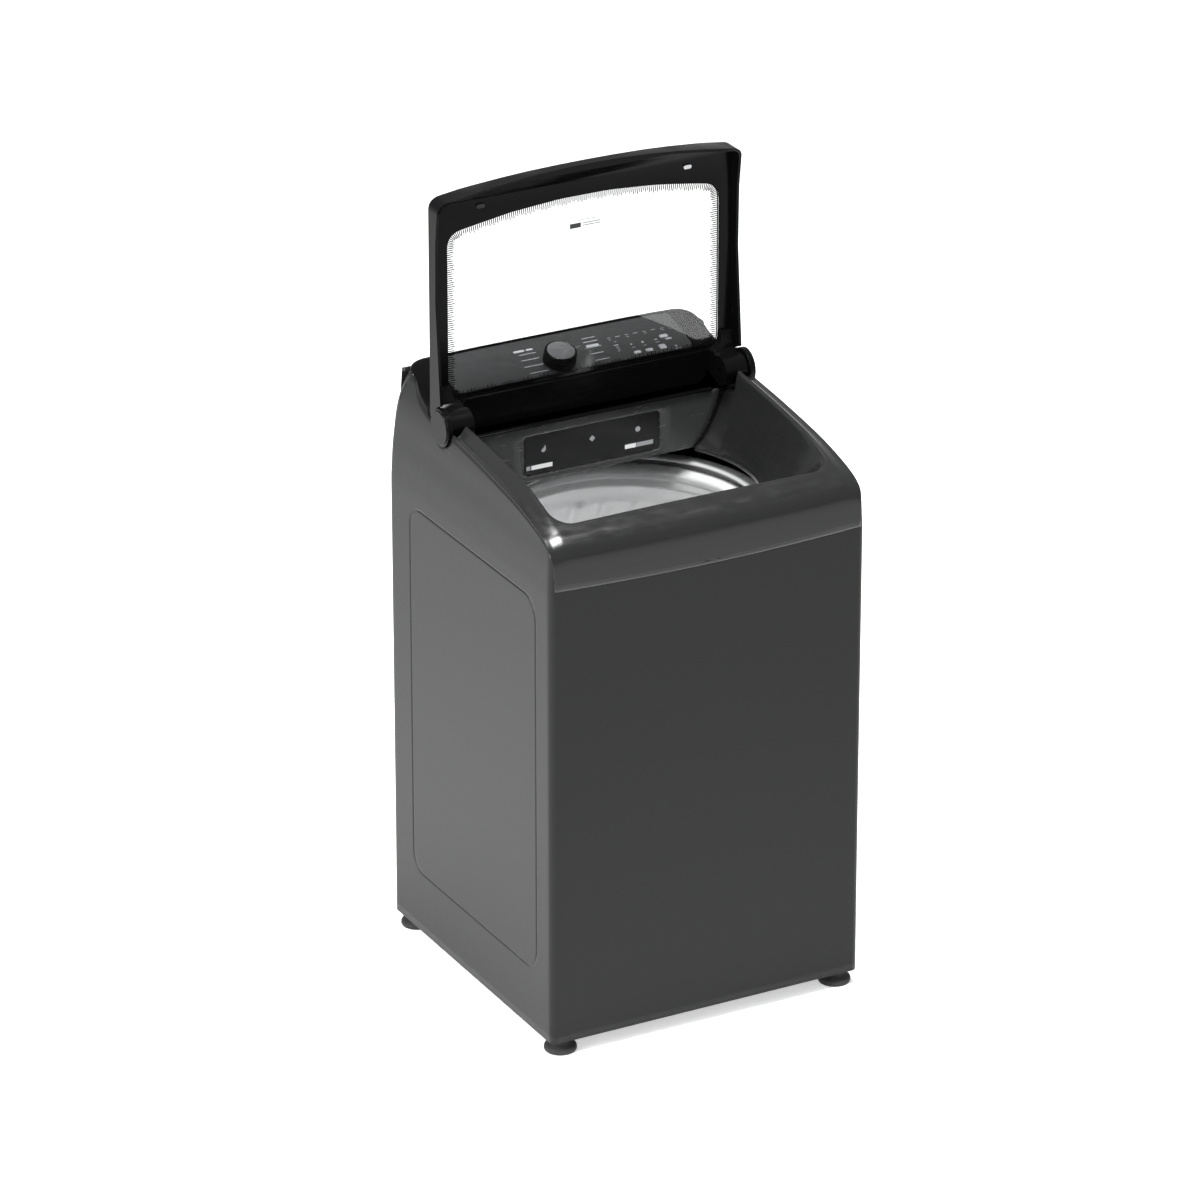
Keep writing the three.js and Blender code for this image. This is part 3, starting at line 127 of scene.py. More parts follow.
# ---------------------------------------------------------------- materials
class Finish:
    """A Principled material with helpers for patterns on Object coordinates."""

    def __init__(self, name, colour, roughness, metallic=0.0, **sockets):
        self.material = bpy.data.materials.new(name)
        self.material.use_nodes = True
        self.nodes = self.material.node_tree.nodes
        self.links = self.material.node_tree.links
        self.shader = self.nodes["Principled BSDF"]
        self.shader.inputs["Base Color"].default_value = (*colour, 1)
        self.shader.inputs["Roughness"].default_value = roughness
        self.shader.inputs["Metallic"].default_value = metallic
        for socket, value in sockets.items():
            self.shader.inputs[socket.replace("_", " ")].default_value = value
        self.place = self.nodes.new("ShaderNodeTexCoord").outputs["Object"]
        self.height = None

    def noise(self, scale, detail=2.0, stretch=(1, 1, 1)):
        """Soft noise of that scale per metre, stretched along the axes."""
        mapping = self.nodes.new("ShaderNodeMapping")
        mapping.inputs["Scale"].default_value = stretch
        self.links.new(self.place, mapping.inputs["Vector"])
        noise = self.nodes.new("ShaderNodeTexNoise")
        noise.inputs["Scale"].default_value = scale
        noise.inputs["Detail"].default_value = detail
        self.links.new(mapping.outputs["Vector"], noise.inputs["Vector"])
        return noise.outputs["Fac"]

    def ramp(self, value, low, high, start=0.0, end=1.0):
        """value mapped from start..end to low..high."""
        node = self.nodes.new("ShaderNodeMapRange")
        node.inputs["From Min"].default_value = start
        node.inputs["From Max"].default_value = end
        node.inputs["To Min"].default_value = low
        node.inputs["To Max"].default_value = high
        self.links.new(value, node.inputs["Value"])
        return node.outputs["Result"]

    def mix(self, value, first, second):
        """Base colour going from first to second as value goes from 0 to 1."""
        node = self.nodes.new("ShaderNodeMix")
        node.data_type = "RGBA"
        node.inputs[6].default_value = (*first, 1)
        node.inputs[7].default_value = (*second, 1)
        self.links.new(value, node.inputs[0])
        self.links.new(node.outputs[2], self.shader.inputs["Base Color"])

    def rough(self, value, low, high):
        self.links.new(self.ramp(value, low, high, 0.3, 0.7), self.shader.inputs["Roughness"])

    def bump(self, value, distance, strength=1.0):
        """Adds a bump of that height in metres on top of any earlier one."""
        node = self.nodes.new("ShaderNodeBump")
        node.inputs["Distance"].default_value = distance
        node.inputs["Strength"].default_value = strength
        self.links.new(value, node.inputs["Height"])
        if self.height is not None:
            self.links.new(self.height, node.inputs["Normal"])
        self.height = node.outputs["Normal"]
        self.links.new(self.height, self.shader.inputs["Normal"])


def tinted(colour, factor):
    return tuple(min(1.0, c * factor) for c in colour)


def painted_steel(name, colour, roughness=0.38):
    """Powder-coated sheet: fine orange peel, slow colour drift, small changes of gloss."""
    finish = Finish(name, colour, roughness, Specular_IOR_Level=0.12)
    drift = finish.noise(2.0, 1.0)
    finish.mix(drift, tinted(colour, 0.97), tinted(colour, 1.03))
    finish.rough(finish.noise(260.0, 2.0), roughness - 0.03, roughness + 0.04)
    finish.bump(finish.noise(1400.0, 1.0), 0.00003, 0.4)
    return finish.material


def gloss_plastic(name, colour, roughness=0.12, shine=0.4):
    """Moulded glossy plastic: faint flow marks and fine scuffs in its gloss."""
    finish = Finish(name, colour, roughness, Specular_IOR_Level=shine)
    finish.mix(finish.noise(6.0, 2.0), tinted(colour, 0.92), tinted(colour, 1.08))
    finish.rough(finish.noise(25.0, 4.0, (1, 1, 6)), roughness * 0.7, roughness * 1.5)
    finish.bump(finish.noise(14.0, 2.0), 0.00012, 0.06)
    return finish.material


def satin_plastic(name, colour, roughness=0.45, grain=0.00005):
    """Moulded plastic with a fine spark-eroded grain."""
    finish = Finish(name, colour, roughness, Specular_IOR_Level=0.3)
    finish.mix(finish.noise(9.0, 3.0), tinted(colour, 0.9), tinted(colour, 1.1))
    finish.rough(finish.noise(60.0, 3.0), roughness - 0.06, roughness + 0.08)
    finish.bump(finish.noise(2200.0, 1.0), grain, 0.7)
    return finish.material


def brushed_metal(name, colour, roughness=0.28, stretch=(1, 1, 40), metallic=1.0):
    """Rolled metal with fine lines across the stretch."""
    finish = Finish(name, colour, roughness, metallic)
    lines = finish.noise(60.0, 4.0, stretch)
    finish.mix(lines, tinted(colour, 0.85), tinted(colour, 1.12))
    finish.rough(lines, roughness - 0.08, roughness + 0.1)
    finish.bump(lines, 0.00005, 0.4)
    return finish.material


def cast_metal(name, colour, roughness=0.5):
    """Die-cast metal with a sandy skin."""
    finish = Finish(name, colour, roughness, metallic=0.85)
    finish.mix(finish.noise(14.0, 4.0), tinted(colour, 0.8), tinted(colour, 1.15))
    finish.rough(finish.noise(90.0, 3.0), roughness - 0.1, roughness + 0.12)
    finish.bump(finish.noise(500.0, 3.0), 0.0002, 0.6)
    return finish.material


def rubber(name, colour=(0.018, 0.018, 0.018)):
    """Black rubber: dusty, matt and finely pitted."""
    finish = Finish(name, colour, 0.75, Specular_IOR_Level=0.3)
    finish.mix(finish.noise(30.0, 4.0), tinted(colour, 0.7), tinted(colour, 1.8))
    finish.bump(finish.noise(1500.0, 2.0), 0.00008, 0.7)
    return finish.material


def lid_glass_finish():
    """Clear flat glass with the least green and a trace of wipe marks."""
    finish = Finish("lid_glass", (0.86, 0.87, 0.868), 0.02, Transmission_Weight=1.0, IOR=1.45)
    finish.rough(finish.noise(18.0, 3.0), 0.0, 0.035)
    return finish.material


MATERIALS = {
    "steel_grey": painted_steel("steel_grey", (0.0108, 0.0111, 0.0111)),
    "cover_grey": gloss_plastic("cover_grey", (0.0085, 0.0087, 0.0087), 0.18, 0.36),
    "black_gloss": gloss_plastic("black_gloss", (0.0018, 0.0018, 0.002), 0.16, 0.07),
    "console_black": satin_plastic("console_black", (0.022, 0.0225, 0.023), 0.34, 0.00001),
    "key_grey": satin_plastic("key_grey", (0.28, 0.29, 0.3), 0.4),
    "light_plastic": satin_plastic("light_plastic", (0.3, 0.31, 0.32), 0.35),
    "tub_plastic": satin_plastic("tub_plastic", (0.32, 0.33, 0.34), 0.5),
    "stainless": brushed_metal("stainless", (0.62, 0.63, 0.64), 0.25),
    "zinc": brushed_metal("zinc", (0.45, 0.46, 0.47), 0.35),
    "cast_metal": cast_metal("cast_metal", (0.42, 0.43, 0.44)),
    "black_rubber": rubber("black_rubber"),
    "motor_black": painted_steel("motor_black", (0.03, 0.03, 0.032), 0.45),
    "board_green": satin_plastic("board_green", (0.05, 0.16, 0.08), 0.4),
    "lid_glass": lid_glass_finish(),
    "label_white": satin_plastic("label_white", (0.75, 0.76, 0.76), 0.35, 0.00001),
    "knob_top": satin_plastic("knob_top", (0.1, 0.102, 0.104), 0.32, 0.00002),
    # the well's back wall: the cover's plastic painted about four times lighter and glossier, painted light
    # for the light that reaches the back of the well
    "cover_grey_painted_lit": gloss_plastic("cover_grey_painted_lit", (0.032, 0.033, 0.033), 0.2, 0.5),
    "tub_grey": gloss_plastic("tub_grey", (0.34, 0.345, 0.345), 0.3, 0.3),
    "ring_grey": gloss_plastic("ring_grey", (0.38, 0.385, 0.385), 0.22, 0.5),
    # the basket: stainless painted near white and only a quarter metal, a painted reflection for the bright
    # sheen of the lit steel drum
    "drum_painted_sheen": brushed_metal("drum_painted_sheen", (0.95, 0.95, 0.95), 0.4, (1, 1, 30), 0.25),
}


# finishes that are shades of one of the record's slots; the well's back wall and the drum are lit copies
# whose lighter colour is painted light
FINISH_SLOT = {
    "label_white": "light_plastic",
    "cover_grey_painted_lit": "cover_grey",
    "knob_top": "console_black",
    "tub_grey": "tub_plastic",
    "ring_grey": "tub_plastic",
    "drum_painted_sheen": "stainless",
}


# ---------------------------------------------------------------- pieces
def finish_piece(made, body, finish):
    """Gives a piece its material and its body; the record's slot that the finish belongs to is looked up
    but not kept.
    """
    made.data.materials.clear()
    made.data.materials.append(MATERIALS[finish])
    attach(made, body)
    FINISH_SLOT.get(finish, finish)
    return made


def piece(name, points, faces, body, finish, sharp=35.0, wall=0.0):
    """A piece from points in millimetres, smooth but for sharp edges; wall thickens it inwards."""
    mesh = bpy.data.meshes.new(name)
    points = np.asarray(points, float).reshape(-1, 3) * MM
    mesh.from_pydata(points.tolist(), [], [tuple(f) for f in np.asarray(faces).tolist()])
    mesh.validate()
    mesh.shade_smooth()
    mesh.set_sharp_from_angle(angle=math.radians(sharp))
    made = bpy.data.objects.new(name, mesh)
    bpy.context.scene.collection.objects.link(made)
    if wall:
        sheet = made.modifiers.new("sheet", "SOLIDIFY")
        sheet.thickness = wall * MM
        sheet.offset = -1.0
    return finish_piece(made, body, finish)


def grid_faces(rows, columns, close_rows=False, close_columns=False):
    """Quads of a rows x columns grid of points, wrapped where asked."""
    i = np.arange(rows if close_rows else rows - 1)
    j = np.arange(columns if close_columns else columns - 1)
    i, j = np.meshgrid(i, j, indexing="ij")
    i, j = i.ravel(), j.ravel()
    i1, j1 = (i + 1) % rows, (j + 1) % columns
    return np.stack([i * columns + j, i * columns + j1, i1 * columns + j1, i1 * columns + j], axis=1)


def grid_piece(name, grid, body, finish, close_columns=False, close_rows=False, **more):
    """A piece from a (rows, columns, 3) grid whose rows climb and whose columns run anticlockwise."""
    faces = grid_faces(grid.shape[0], grid.shape[1], close_rows, close_columns)
    return piece(name, grid, faces, body, finish, **more)


def turned(name, profile, body, finish, centre=(0.0, 0.0), around=96, closed=False, **more):
    """A lathe piece: (radius, height) points swept round +Z; a closed profile makes a ring."""
    profile = np.asarray(profile, float)
    turn = np.linspace(0, 2 * np.pi, around, endpoint=False)
    x = centre[0] + profile[:, :1] * np.cos(turn)
    y = centre[1] + profile[:, :1] * np.sin(turn)
    z = np.repeat(profile[:, 1:], around, axis=1)
    return grid_piece(name, np.stack([x, y, z], axis=2), body, finish, True, closed, **more)


def rounded_profile(points, radius, steps=5):
    """A closed (radius, height) outline with each corner replaced by a quadratic curve of that reach."""
    points = np.asarray(points, float)
    before, after = np.roll(points, 1, axis=0), np.roll(points, -1, axis=0)
    reach_in = np.linalg.norm(before - points, axis=1, keepdims=True)
    reach_out = np.linalg.norm(after - points, axis=1, keepdims=True)
    start = points + (before - points) * np.minimum(radius / reach_in, 0.45)
    end = points + (after - points) * np.minimum(radius / reach_out, 0.45)
    t = np.linspace(0, 1, steps)[None, :, None]
    curve = (1 - t) ** 2 * start[:, None] + 2 * t * (1 - t) * points[:, None] + t ** 2 * end[:, None]
    return curve.reshape(-1, 2)


SLOT_OF = {s["node"]: s["material_slot"] for s in frame["record"]["subparts"]}
BODY_OF = {n: b for b, members in frame["record"]["behaviour"]["bodies"].items() for n in members}
replaced = set()


def replace(made, *nodes):
    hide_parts(*nodes)
    replaced.update(nodes)


def corners(node):
    """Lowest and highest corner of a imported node, in millimetres."""
    low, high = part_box(node)
    return np.array(low) / MM, np.array(high) / MM


def dressed_copy(node, bevel=0.6 * MM, segments=2, sharp=28.0):
    """The node's own solid as a finished piece: merged, flats rejoined, edges rounded by bevel."""
    source = frame["nodes"][node]
    work = bmesh.new()
    work.from_mesh(source.data)
    bmesh.ops.remove_doubles(work, verts=work.verts, dist=1e-5)
    bmesh.ops.dissolve_limit(work, angle_limit=math.radians(1.5), verts=work.verts, edges=work.edges)
    mesh = bpy.data.meshes.new(node + "_shape")
    work.to_mesh(mesh)
    work.free()
    mesh.shade_smooth()
    mesh.set_sharp_from_angle(angle=math.radians(sharp))
    made = bpy.data.objects.new(node + "_shape", mesh)
    bpy.context.scene.collection.objects.link(made)
    if bevel:
        rounding = made.modifiers.new("rounded_edges", "BEVEL")
        rounding.width = bevel
        rounding.segments = segments
        rounding.limit_method = "ANGLE"
        rounding.angle_limit = math.radians(sharp + 5)
        rounding.use_clamp_overlap = True
    finish_piece(made, BODY_OF[node], SLOT_OF[node])
    replace(made, node)
    return made


# ---------------------------------------------------------------- the body's form, in millimetres
class Curve:
    """A smooth line through (place, value) points: cubic pieces with slopes that never overshoot."""

    def __init__(self, points):
        self.place, self.value = np.array(points, float).T
        rise = np.diff(self.value) / np.diff(self.place)
        both = rise[:-1] * rise[1:] > 0
        total = np.where(both, rise[:-1] + rise[1:], 1.0)
        inner = np.where(both, 2 * rise[:-1] * rise[1:] / total, 0.0)
        self.slope = np.concatenate([rise[:1], inner, rise[-1:]])

    def __call__(self, at):
        at = np.clip(at, self.place[0], self.place[-1])
        k = np.clip(np.searchsorted(self.place, at, side="right") - 1, 0, len(self.place) - 2)
        step = self.place[k + 1] - self.place[k]
        t = (at - self.place[k]) / step
        h00, h01 = 2 * t**3 - 3 * t**2 + 1, 3 * t**2 - 2 * t**3
        h10, h11 = t**3 - 2 * t**2 + t, t**3 - t**2
        return (h00 * self.value[k] + h01 * self.value[k + 1]
                + step * (h10 * self.slope[k] + h11 * self.slope[k + 1]))


def ease(t):
    """0 to 1 with level ends, as t goes from 0 to 1."""
    t = np.clip(t, 0, 1)
    return t * t * (3 - 2 * t)


wrap_low, wrap_high = corners("cabinet_wrap")
cap_low, cap_high = corners("hinge_cap_left")
HW = wrap_high[0]  # half width
HD = wrap_high[1]  # half depth
FOOT = wrap_low[2]
HINGE_Y = (cap_low[1] + cap_high[1]) / 2
HINGE_Z = (cap_low[2] + cap_high[2]) / 2
SHOULDER = HINGE_Z - 160  # top of the straight body
BOW = 8
TOUCH = 0.5  # joint between two covers
SKIRT_BOTTOM = SHOULDER + 6
CONSOLE_FRONT = corners("console_housing")[0][1]
WELL_BACK = HINGE_Y + 9
WELL_FLOOR = SHOULDER + 19
POCKET_FRONT = HINGE_Y - 33
POCKET_FLOOR = HINGE_Z - 36

half_lean = Curve([(0, 0), (51, -2), (91, -5), (123, -7), (155, -11), (191, -20), (227, -30), (260, -33)])
back_lean = Curve([(0, 0), (67, -1), (151, -8), (227, -17), (260, -18)])
corner_size = Curve([(0, 14), (123, 18), (180, 26), (227, 40)])
NOSE = 35
run = HINGE_Y + HD - NOSE
steel_top = Curve([
    (-HD, 6), (-HD + 2, 27), (-HD + 6, 60), (-HD + 18, 79), (-HD + NOSE, 91),
    (-HD + NOSE + 0.14 * run, 109), (-HD + NOSE + 0.3 * run, 123), (-HD + NOSE + 0.5 * run, 135),
    (-HD + NOSE + 0.7 * run, 145), (-HD + NOSE + 0.9 * run, 153), (HINGE_Y, 157), (HINGE_Y + 47, 158),
    (HINGE_Y + 79, 167), (HINGE_Y + 105, 179), (HINGE_Y + 123, 197), (HINGE_Y + 129, 204), (HD, 206),
])


def spread(*stretches):
    """Sorted places from (start, end, step) stretches."""
    places = [np.linspace(a, b, max(2, int(round(abs(b - a) / step)) + 1)) for a, b, step in stretches]
    return np.unique(np.round(np.concatenate(places), 2))


class Plan:
    """Right half of the body's outline as columns: front, front corner, side, rear corner, rear."""

    def __init__(self, side, front=18, corner=8, rear=None):
        turns = np.linspace(0, 1, corner + 1)[1:-1]
        parts = [(0, np.linspace(0, 1, front)), (1, turns), (2, np.asarray(side, float))]
        if rear is not None:
            parts += [(3, turns), (4, np.asarray(rear, float))]
        self.kind = np.concatenate([np.full(len(at), kind) for kind, at in parts])
        self.at = np.concatenate([at for _, at in parts])

    def points(self, z, inset=0.0):
        """(x, y) at height z: straight runs, quarter-circle corners and a parabolic front, leaning in
        above the shoulder."""
        above = z - SHOULDER
        half = HW + half_lean(above) - inset
        back = HD + back_lean(above) - inset
        front = -HD + inset
        r = np.maximum(corner_size(above) - inset, 2.5)
        bow = BOW * np.clip((z - FOOT) / (SHOULDER - FOOT), 0, 1)
        turn = self.at * np.pi / 2
        straight = self.at * (half - r)
        x = np.choose(self.kind, [straight, half - r + r * np.sin(turn), half + 0 * r,
                                  half - r + r * np.cos(turn), self.at + 0 * r])
        y = np.choose(self.kind, [front - bow * (1 - self.at**2) + 0 * r, front + r - r * np.cos(turn),
                                  np.clip(self.at, front + r, back - r), back - r + r * np.sin(turn),
                                  back + 0 * r])
        return x, y


def mirrored(half, closed=False):
    """The whole outline from its right half: the mirror image first, then the half itself."""
    image = half[:, ::-1] * np.array([-1, 1, 1])
    if closed:
        return np.concatenate([half, image[:, 1:-1]], axis=1)
    return np.concatenate([image[:, :-1], half], axis=1)


# ---------------------------------------------------------------- cabinet
PANEL = {"front": -HD + 58, "back": HD - 83, "low": FOOT + 118, "high": SHOULDER - 27, "corner": 40}
LINE_DEPTH, LINE_WIDTH = 1.1, 1.7


def pressed_line(y, z):
    """Depth of the line pressed into each side: a bell curve of the distance to a rounded rectangle."""
    mid_y, mid_z = (PANEL["front"] + PANEL["back"]) / 2, (PANEL["low"] + PANEL["high"]) / 2
    qy = np.abs(y - mid_y) - (PANEL["back"] - PANEL["front"]) / 2 + PANEL["corner"]
    qz = np.abs(z - mid_z) - (PANEL["high"] - PANEL["low"]) / 2 + PANEL["corner"]
    outside = np.hypot(np.maximum(qy, 0), np.maximum(qz, 0))
    distance = outside + np.minimum(np.maximum(qy, qz), 0) - PANEL["corner"]
    return LINE_DEPTH * np.exp(-((distance / LINE_WIDTH) ** 2))


def front_joint(x):
    """Height of the joint between the front sheet and the cover's skirt: it sags a little at its middle."""
    return SKIRT_BOTTOM + 2 - 4 * (1 - (x / HW) ** 2)


def cap_notch(y, reach):
    """Lowest height of a circle of that reach round the hinge axis, or high above where it misses."""
    inside = np.abs(y - HINGE_Y) < reach
    drop = np.sqrt(np.maximum(reach**2 - (y - HINGE_Y) ** 2, 0))
    return np.where(inside, HINGE_Z - drop, 1e4)


def make_cabinet():
    """The folded wrap: two sides with a pressed line, a bowed front and the rear flanges."""
    reach = 35.4
    notch = HINGE_Y + reach * np.sin(np.linspace(-np.pi / 2, np.pi / 2, 25))
    side = np.unique(np.round(np.concatenate([
        spread((-HD + 15, PANEL["front"] - 6, 6), (PANEL["front"] - 6, PANEL["front"] + 6, 1),
               (PANEL["front"] + 6, PANEL["front"] + 44, 4), (PANEL["front"] + 44, PANEL["back"] - 44, 16),
               (PANEL["back"] - 44, PANEL["back"] - 6, 4), (PANEL["back"] - 6, PANEL["back"] + 6, 1),
               (PANEL["back"] + 6, HD - 15, 5)), notch]), 2))
    plan = Plan(side, rear=[HW - 22, HW - 30, HW - 44])
    levels = spread((FOOT, PANEL["low"] - 6, 16), (PANEL["low"] - 6, PANEL["low"] + 6, 1),
                    (PANEL["low"] + 6, PANEL["low"] + 44, 4), (PANEL["low"] + 44, PANEL["high"] - 44, 30),
                    (PANEL["high"] - 44, PANEL["high"] - 6, 4), (PANEL["high"] - 6, PANEL["high"] + 6, 1),
                    (PANEL["high"] + 6, SHOULDER - 8, 4))
    x, y = plan.points(np.full(len(plan.at), SHOULDER + 30.0))
    top = np.where(y < -HD + 2, front_joint(x), SHOULDER + steel_top(y)) - TOUCH
    top = np.minimum(top, cap_notch(y, reach))
    share = np.linspace(0, 1, 19)[1:, None]
    upper = levels[-1] + (top - levels[-1]) * share
    z = np.concatenate([np.repeat(levels[:, None], len(plan.at), axis=1), upper])
    x, y = plan.points(z)
    x = x - np.where(plan.kind == 2, pressed_line(y, z), 0)
    grid = mirrored(np.stack([x, y, z], axis=2))
    made = grid_piece("cabinet_sides_and_front", grid, "cabinet", "steel_grey", wall=1.2)
    replace(made, "cabinet_wrap")


# ---------------------------------------------------------------- top cover
CROWN, RIM_FLAT, CROWN_WIDTH = 15, 7, 25
OPEN_HALF, OPEN_FRONT, OPEN_CORNER = HW - 37, HD - 50, 38
MOUTH = corners("tub_cover")[1][1] - 38  # radius of the well's round mouth
DRAWER_LOW, DRAWER_HIGH = corners("detergent_drawer")


def cover_height(x, y):
    """The cover's upper face: the steel's top line carried across, crowned towards the opening, and
    cut down to the hinge pockets behind their front edge."""
    bowed = y + BOW * (1 - (x / HW) ** 2)
    line = SHOULDER + steel_top(np.minimum(bowed, HINGE_Y))
    edge = HW + half_lean(line - SHOULDER) - np.abs(x)
    fade = np.clip((y + HD) / 150, 0.25, 1)
    height = line + 2 + CROWN * fade * ease((edge - RIM_FLAT) / CROWN_WIDTH)
    return np.where(y > POCKET_FRONT, np.minimum(height, POCKET_FLOOR), height)


def opening_reach(a):
    """Distance from the centre to the opening's rounded edge in the direction a."""
    dx, dy = np.abs(np.cos(a)), np.abs(np.sin(a))
    limit = np.where(np.sin(a) < 0, OPEN_FRONT, WELL_BACK + 60)
    r = np.where(np.sin(a) < 0, OPEN_CORNER, 30)
    flat = np.minimum(OPEN_HALF / np.maximum(dx, 1e-6), limit / np.maximum(dy, 1e-6))
    cx, cy = OPEN_HALF - r, limit - r
    b = dx * cx + dy * cy
    rounded = b + np.sqrt(np.maximum(b * b - (cx * cx + cy * cy - r * r), 0))
    return np.where((dx * flat > cx) & (dy * flat > cy), rounded, flat)


def make_cover():
    """One skin from the skirt's bottom edge, over the rim and down the well to its round mouth.
    Across the rim a point slides from the outline to the opening; down the wall it slides from the
    opening to the mouth circle; the last column always ends on the well's back plate."""
    side = np.unique(np.concatenate([
        spread((-HD + 15, POCKET_FRONT - 1, 9), (POCKET_FRONT + 1, HINGE_Y, 6)), [POCKET_FRONT - 0.2]]))
    plan = Plan(side, front=26, corner=14)
    kind, at = plan.kind, plan.at
    reach_y = np.clip((at + HD - 14) / (HINGE_Y + HD - 14), 0, 1)
    turn = at * np.pi / 2
    qx = np.choose(kind, [at * (OPEN_HALF - OPEN_CORNER),
                          OPEN_HALF - OPEN_CORNER + OPEN_CORNER * np.sin(turn), OPEN_HALF + 0 * at])
    qy = np.choose(kind, [-OPEN_FRONT + 0 * at, -OPEN_FRONT + OPEN_CORNER - OPEN_CORNER * np.cos(turn),
                          -OPEN_FRONT + OPEN_CORNER + (HINGE_Y + OPEN_FRONT - OPEN_CORNER) * reach_y])
    shoulder_x, shoulder_y = plan.points(np.full(len(at), SHOULDER + 30.0))
    on_side = shoulder_y > -HD + 2
    bottom = np.where(on_side, SHOULDER + steel_top(shoulder_y), front_joint(shoulder_x))
    rim = cover_height(shoulder_x, shoulder_y)
    bottom = np.minimum(bottom, rim - 1.5)
    edge = np.where(on_side, 1.0, 0.0)
    rows = []
    for share in (0.0, 0.35, 0.7, 1.0):
        z = bottom + (rim - 1.2 * edge - bottom) * share
        x, y = plan.points(z)
        rows.append(np.stack([x, y, z], axis=1))
    start_x, start_y = plan.points(rim, 0.8 * edge)
    for share in np.linspace(0, 1, 34) ** 1.5:
        x = start_x + (qx - start_x) * share
        y = start_y + (qy - start_y) * share
        rows.append(np.stack([x, y, cover_height(x, y)], axis=1))
    angle = np.arctan2(qy, qx)
    whole = angle[-1] + np.pi / 2
    fine = np.linspace(0, np.pi / 4, 400)
    lip = 5.0
    for level in 1 - np.concatenate([[0.004, 0.012, 0.025], np.linspace(0.045, 1, 30)]):
        inset = lip * np.sqrt(np.clip(1 - (1 - np.minimum((1 - level) / 0.045, 1)) ** 2, 0, 1))
        share = level**0.7

        def ring(a):
            return MOUTH * (1 - share) + (opening_reach(a) - inset) * share

        end = np.interp(WELL_BACK, ring(fine) * np.sin(fine), fine)
        blend = ease((1 - level) / 0.1)
        turned_to = -np.pi / 2 + (angle + np.pi / 2) * (1 + blend * ((end + np.pi / 2) / whole - 1))
        x, y = ring(turned_to) * np.cos(turned_to), ring(turned_to) * np.sin(turned_to)
        edge_x = opening_reach(turned_to) * np.cos(turned_to)
        edge_y = np.minimum(opening_reach(turned_to) * np.sin(turned_to), HINGE_Y)
        z = WELL_FLOOR + (cover_height(edge_x, edge_y) - WELL_FLOOR) * level
        rows.append(np.stack([x, y, z], axis=1))
    last = rows[-1]
    for drop in (2.0, 5.0, 8.0):
        rows.append(last - np.array([0, 0, drop]))
    grid = mirrored(np.stack(rows))
    made = grid_piece("cover_rim_and_well", grid, "cabinet", "cover_grey", wall=2.5, sharp=40)
    replace(made, "top_cover")
    return np.stack(rows[38:-3])[:, -1]


def rounded_rectangle(low, high, radius, angles):
    """Distance from a rounded rectangle's centre to its edge in each direction."""
    half_x, half_z = (high[0] - low[0]) / 2, (high[1] - low[1]) / 2
    dx, dz = np.abs(np.cos(angles)), np.abs(np.sin(angles))
    flat = np.minimum(half_x / np.maximum(dx, 1e-6), half_z / np.maximum(dz, 1e-6))
    cx, cz = half_x - radius, half_z - radius
    b = dx * cx + dz * cz
    rounded = b + np.sqrt(np.maximum(b * b - (cx * cx + cz * cz - radius * radius), 0))
    return np.where((dx * flat > cx) & (dz * flat > cz), rounded, flat)


def make_well_back(edge):
    """The well's flat back wall: rings of points from the drawer's rounded hole out to a little past
    the line where the well's last column meets it."""
    edge = edge[edge[:, 2] < POCKET_FLOOR - 2][::-1]
    outline = np.concatenate([edge[:, [0, 2]], (edge[:, [0, 2]] * np.array([-1, 1]))[::-1]])
    centre = np.array([0.0, (DRAWER_LOW[2] + DRAWER_HIGH[2]) / 2])
    hole_low = np.array([DRAWER_LOW[0] - 1.4, DRAWER_LOW[2] - 1.4])
    hole_high = np.array([DRAWER_HIGH[0] + 1.4, DRAWER_HIGH[2] + 1.4])
    dense = np.concatenate([np.linspace(a, b, 60, endpoint=False)
                            for a, b in zip(outline, np.roll(outline, -1, axis=0))])
    arm = dense - centre
    bearing = np.arctan2(arm[:, 1], arm[:, 0])
    order = np.argsort(bearing)
    turns = np.unique(np.concatenate([
        np.linspace(-np.pi, np.pi, 160, endpoint=False),
        np.arctan2(outline[:, 1] - centre[1], outline[:, 0])]))
    outer = np.interp(turns, bearing[order], np.hypot(*arm.T)[order], period=2 * np.pi) + 3.0
    inner = rounded_rectangle(hole_low, hole_high, 8, turns)
    share = np.linspace(0, 1, 6)[:, None]
    radius = inner * (1 - share) + outer * share
    x = centre[0] + radius * np.cos(turns)
    z = centre[1] + radius * np.sin(turns)
    grid = np.stack([x, np.full_like(x, WELL_BACK), z], axis=2)
    # the back wall takes the cover's plastic painted lighter: painted light, not a different plastic
    grid_piece("well_back_wall", grid[::-1], "cabinet", "cover_grey_painted_lit", True, wall=2.6)


# ---------------------------------------------------------------- console
FACE_LOW, FACE_HIGH = corners("console_face")
SLOPE = math.tan(math.radians(17.5))
FACE_CORNER = 16


def console_height(x, y):
    """The console's sloping top, a little lower at its ends."""
    return HINGE_Z + 26 + (y - CONSOLE_FRONT) * SLOPE - 3 * (x / (HW - 36)) ** 4


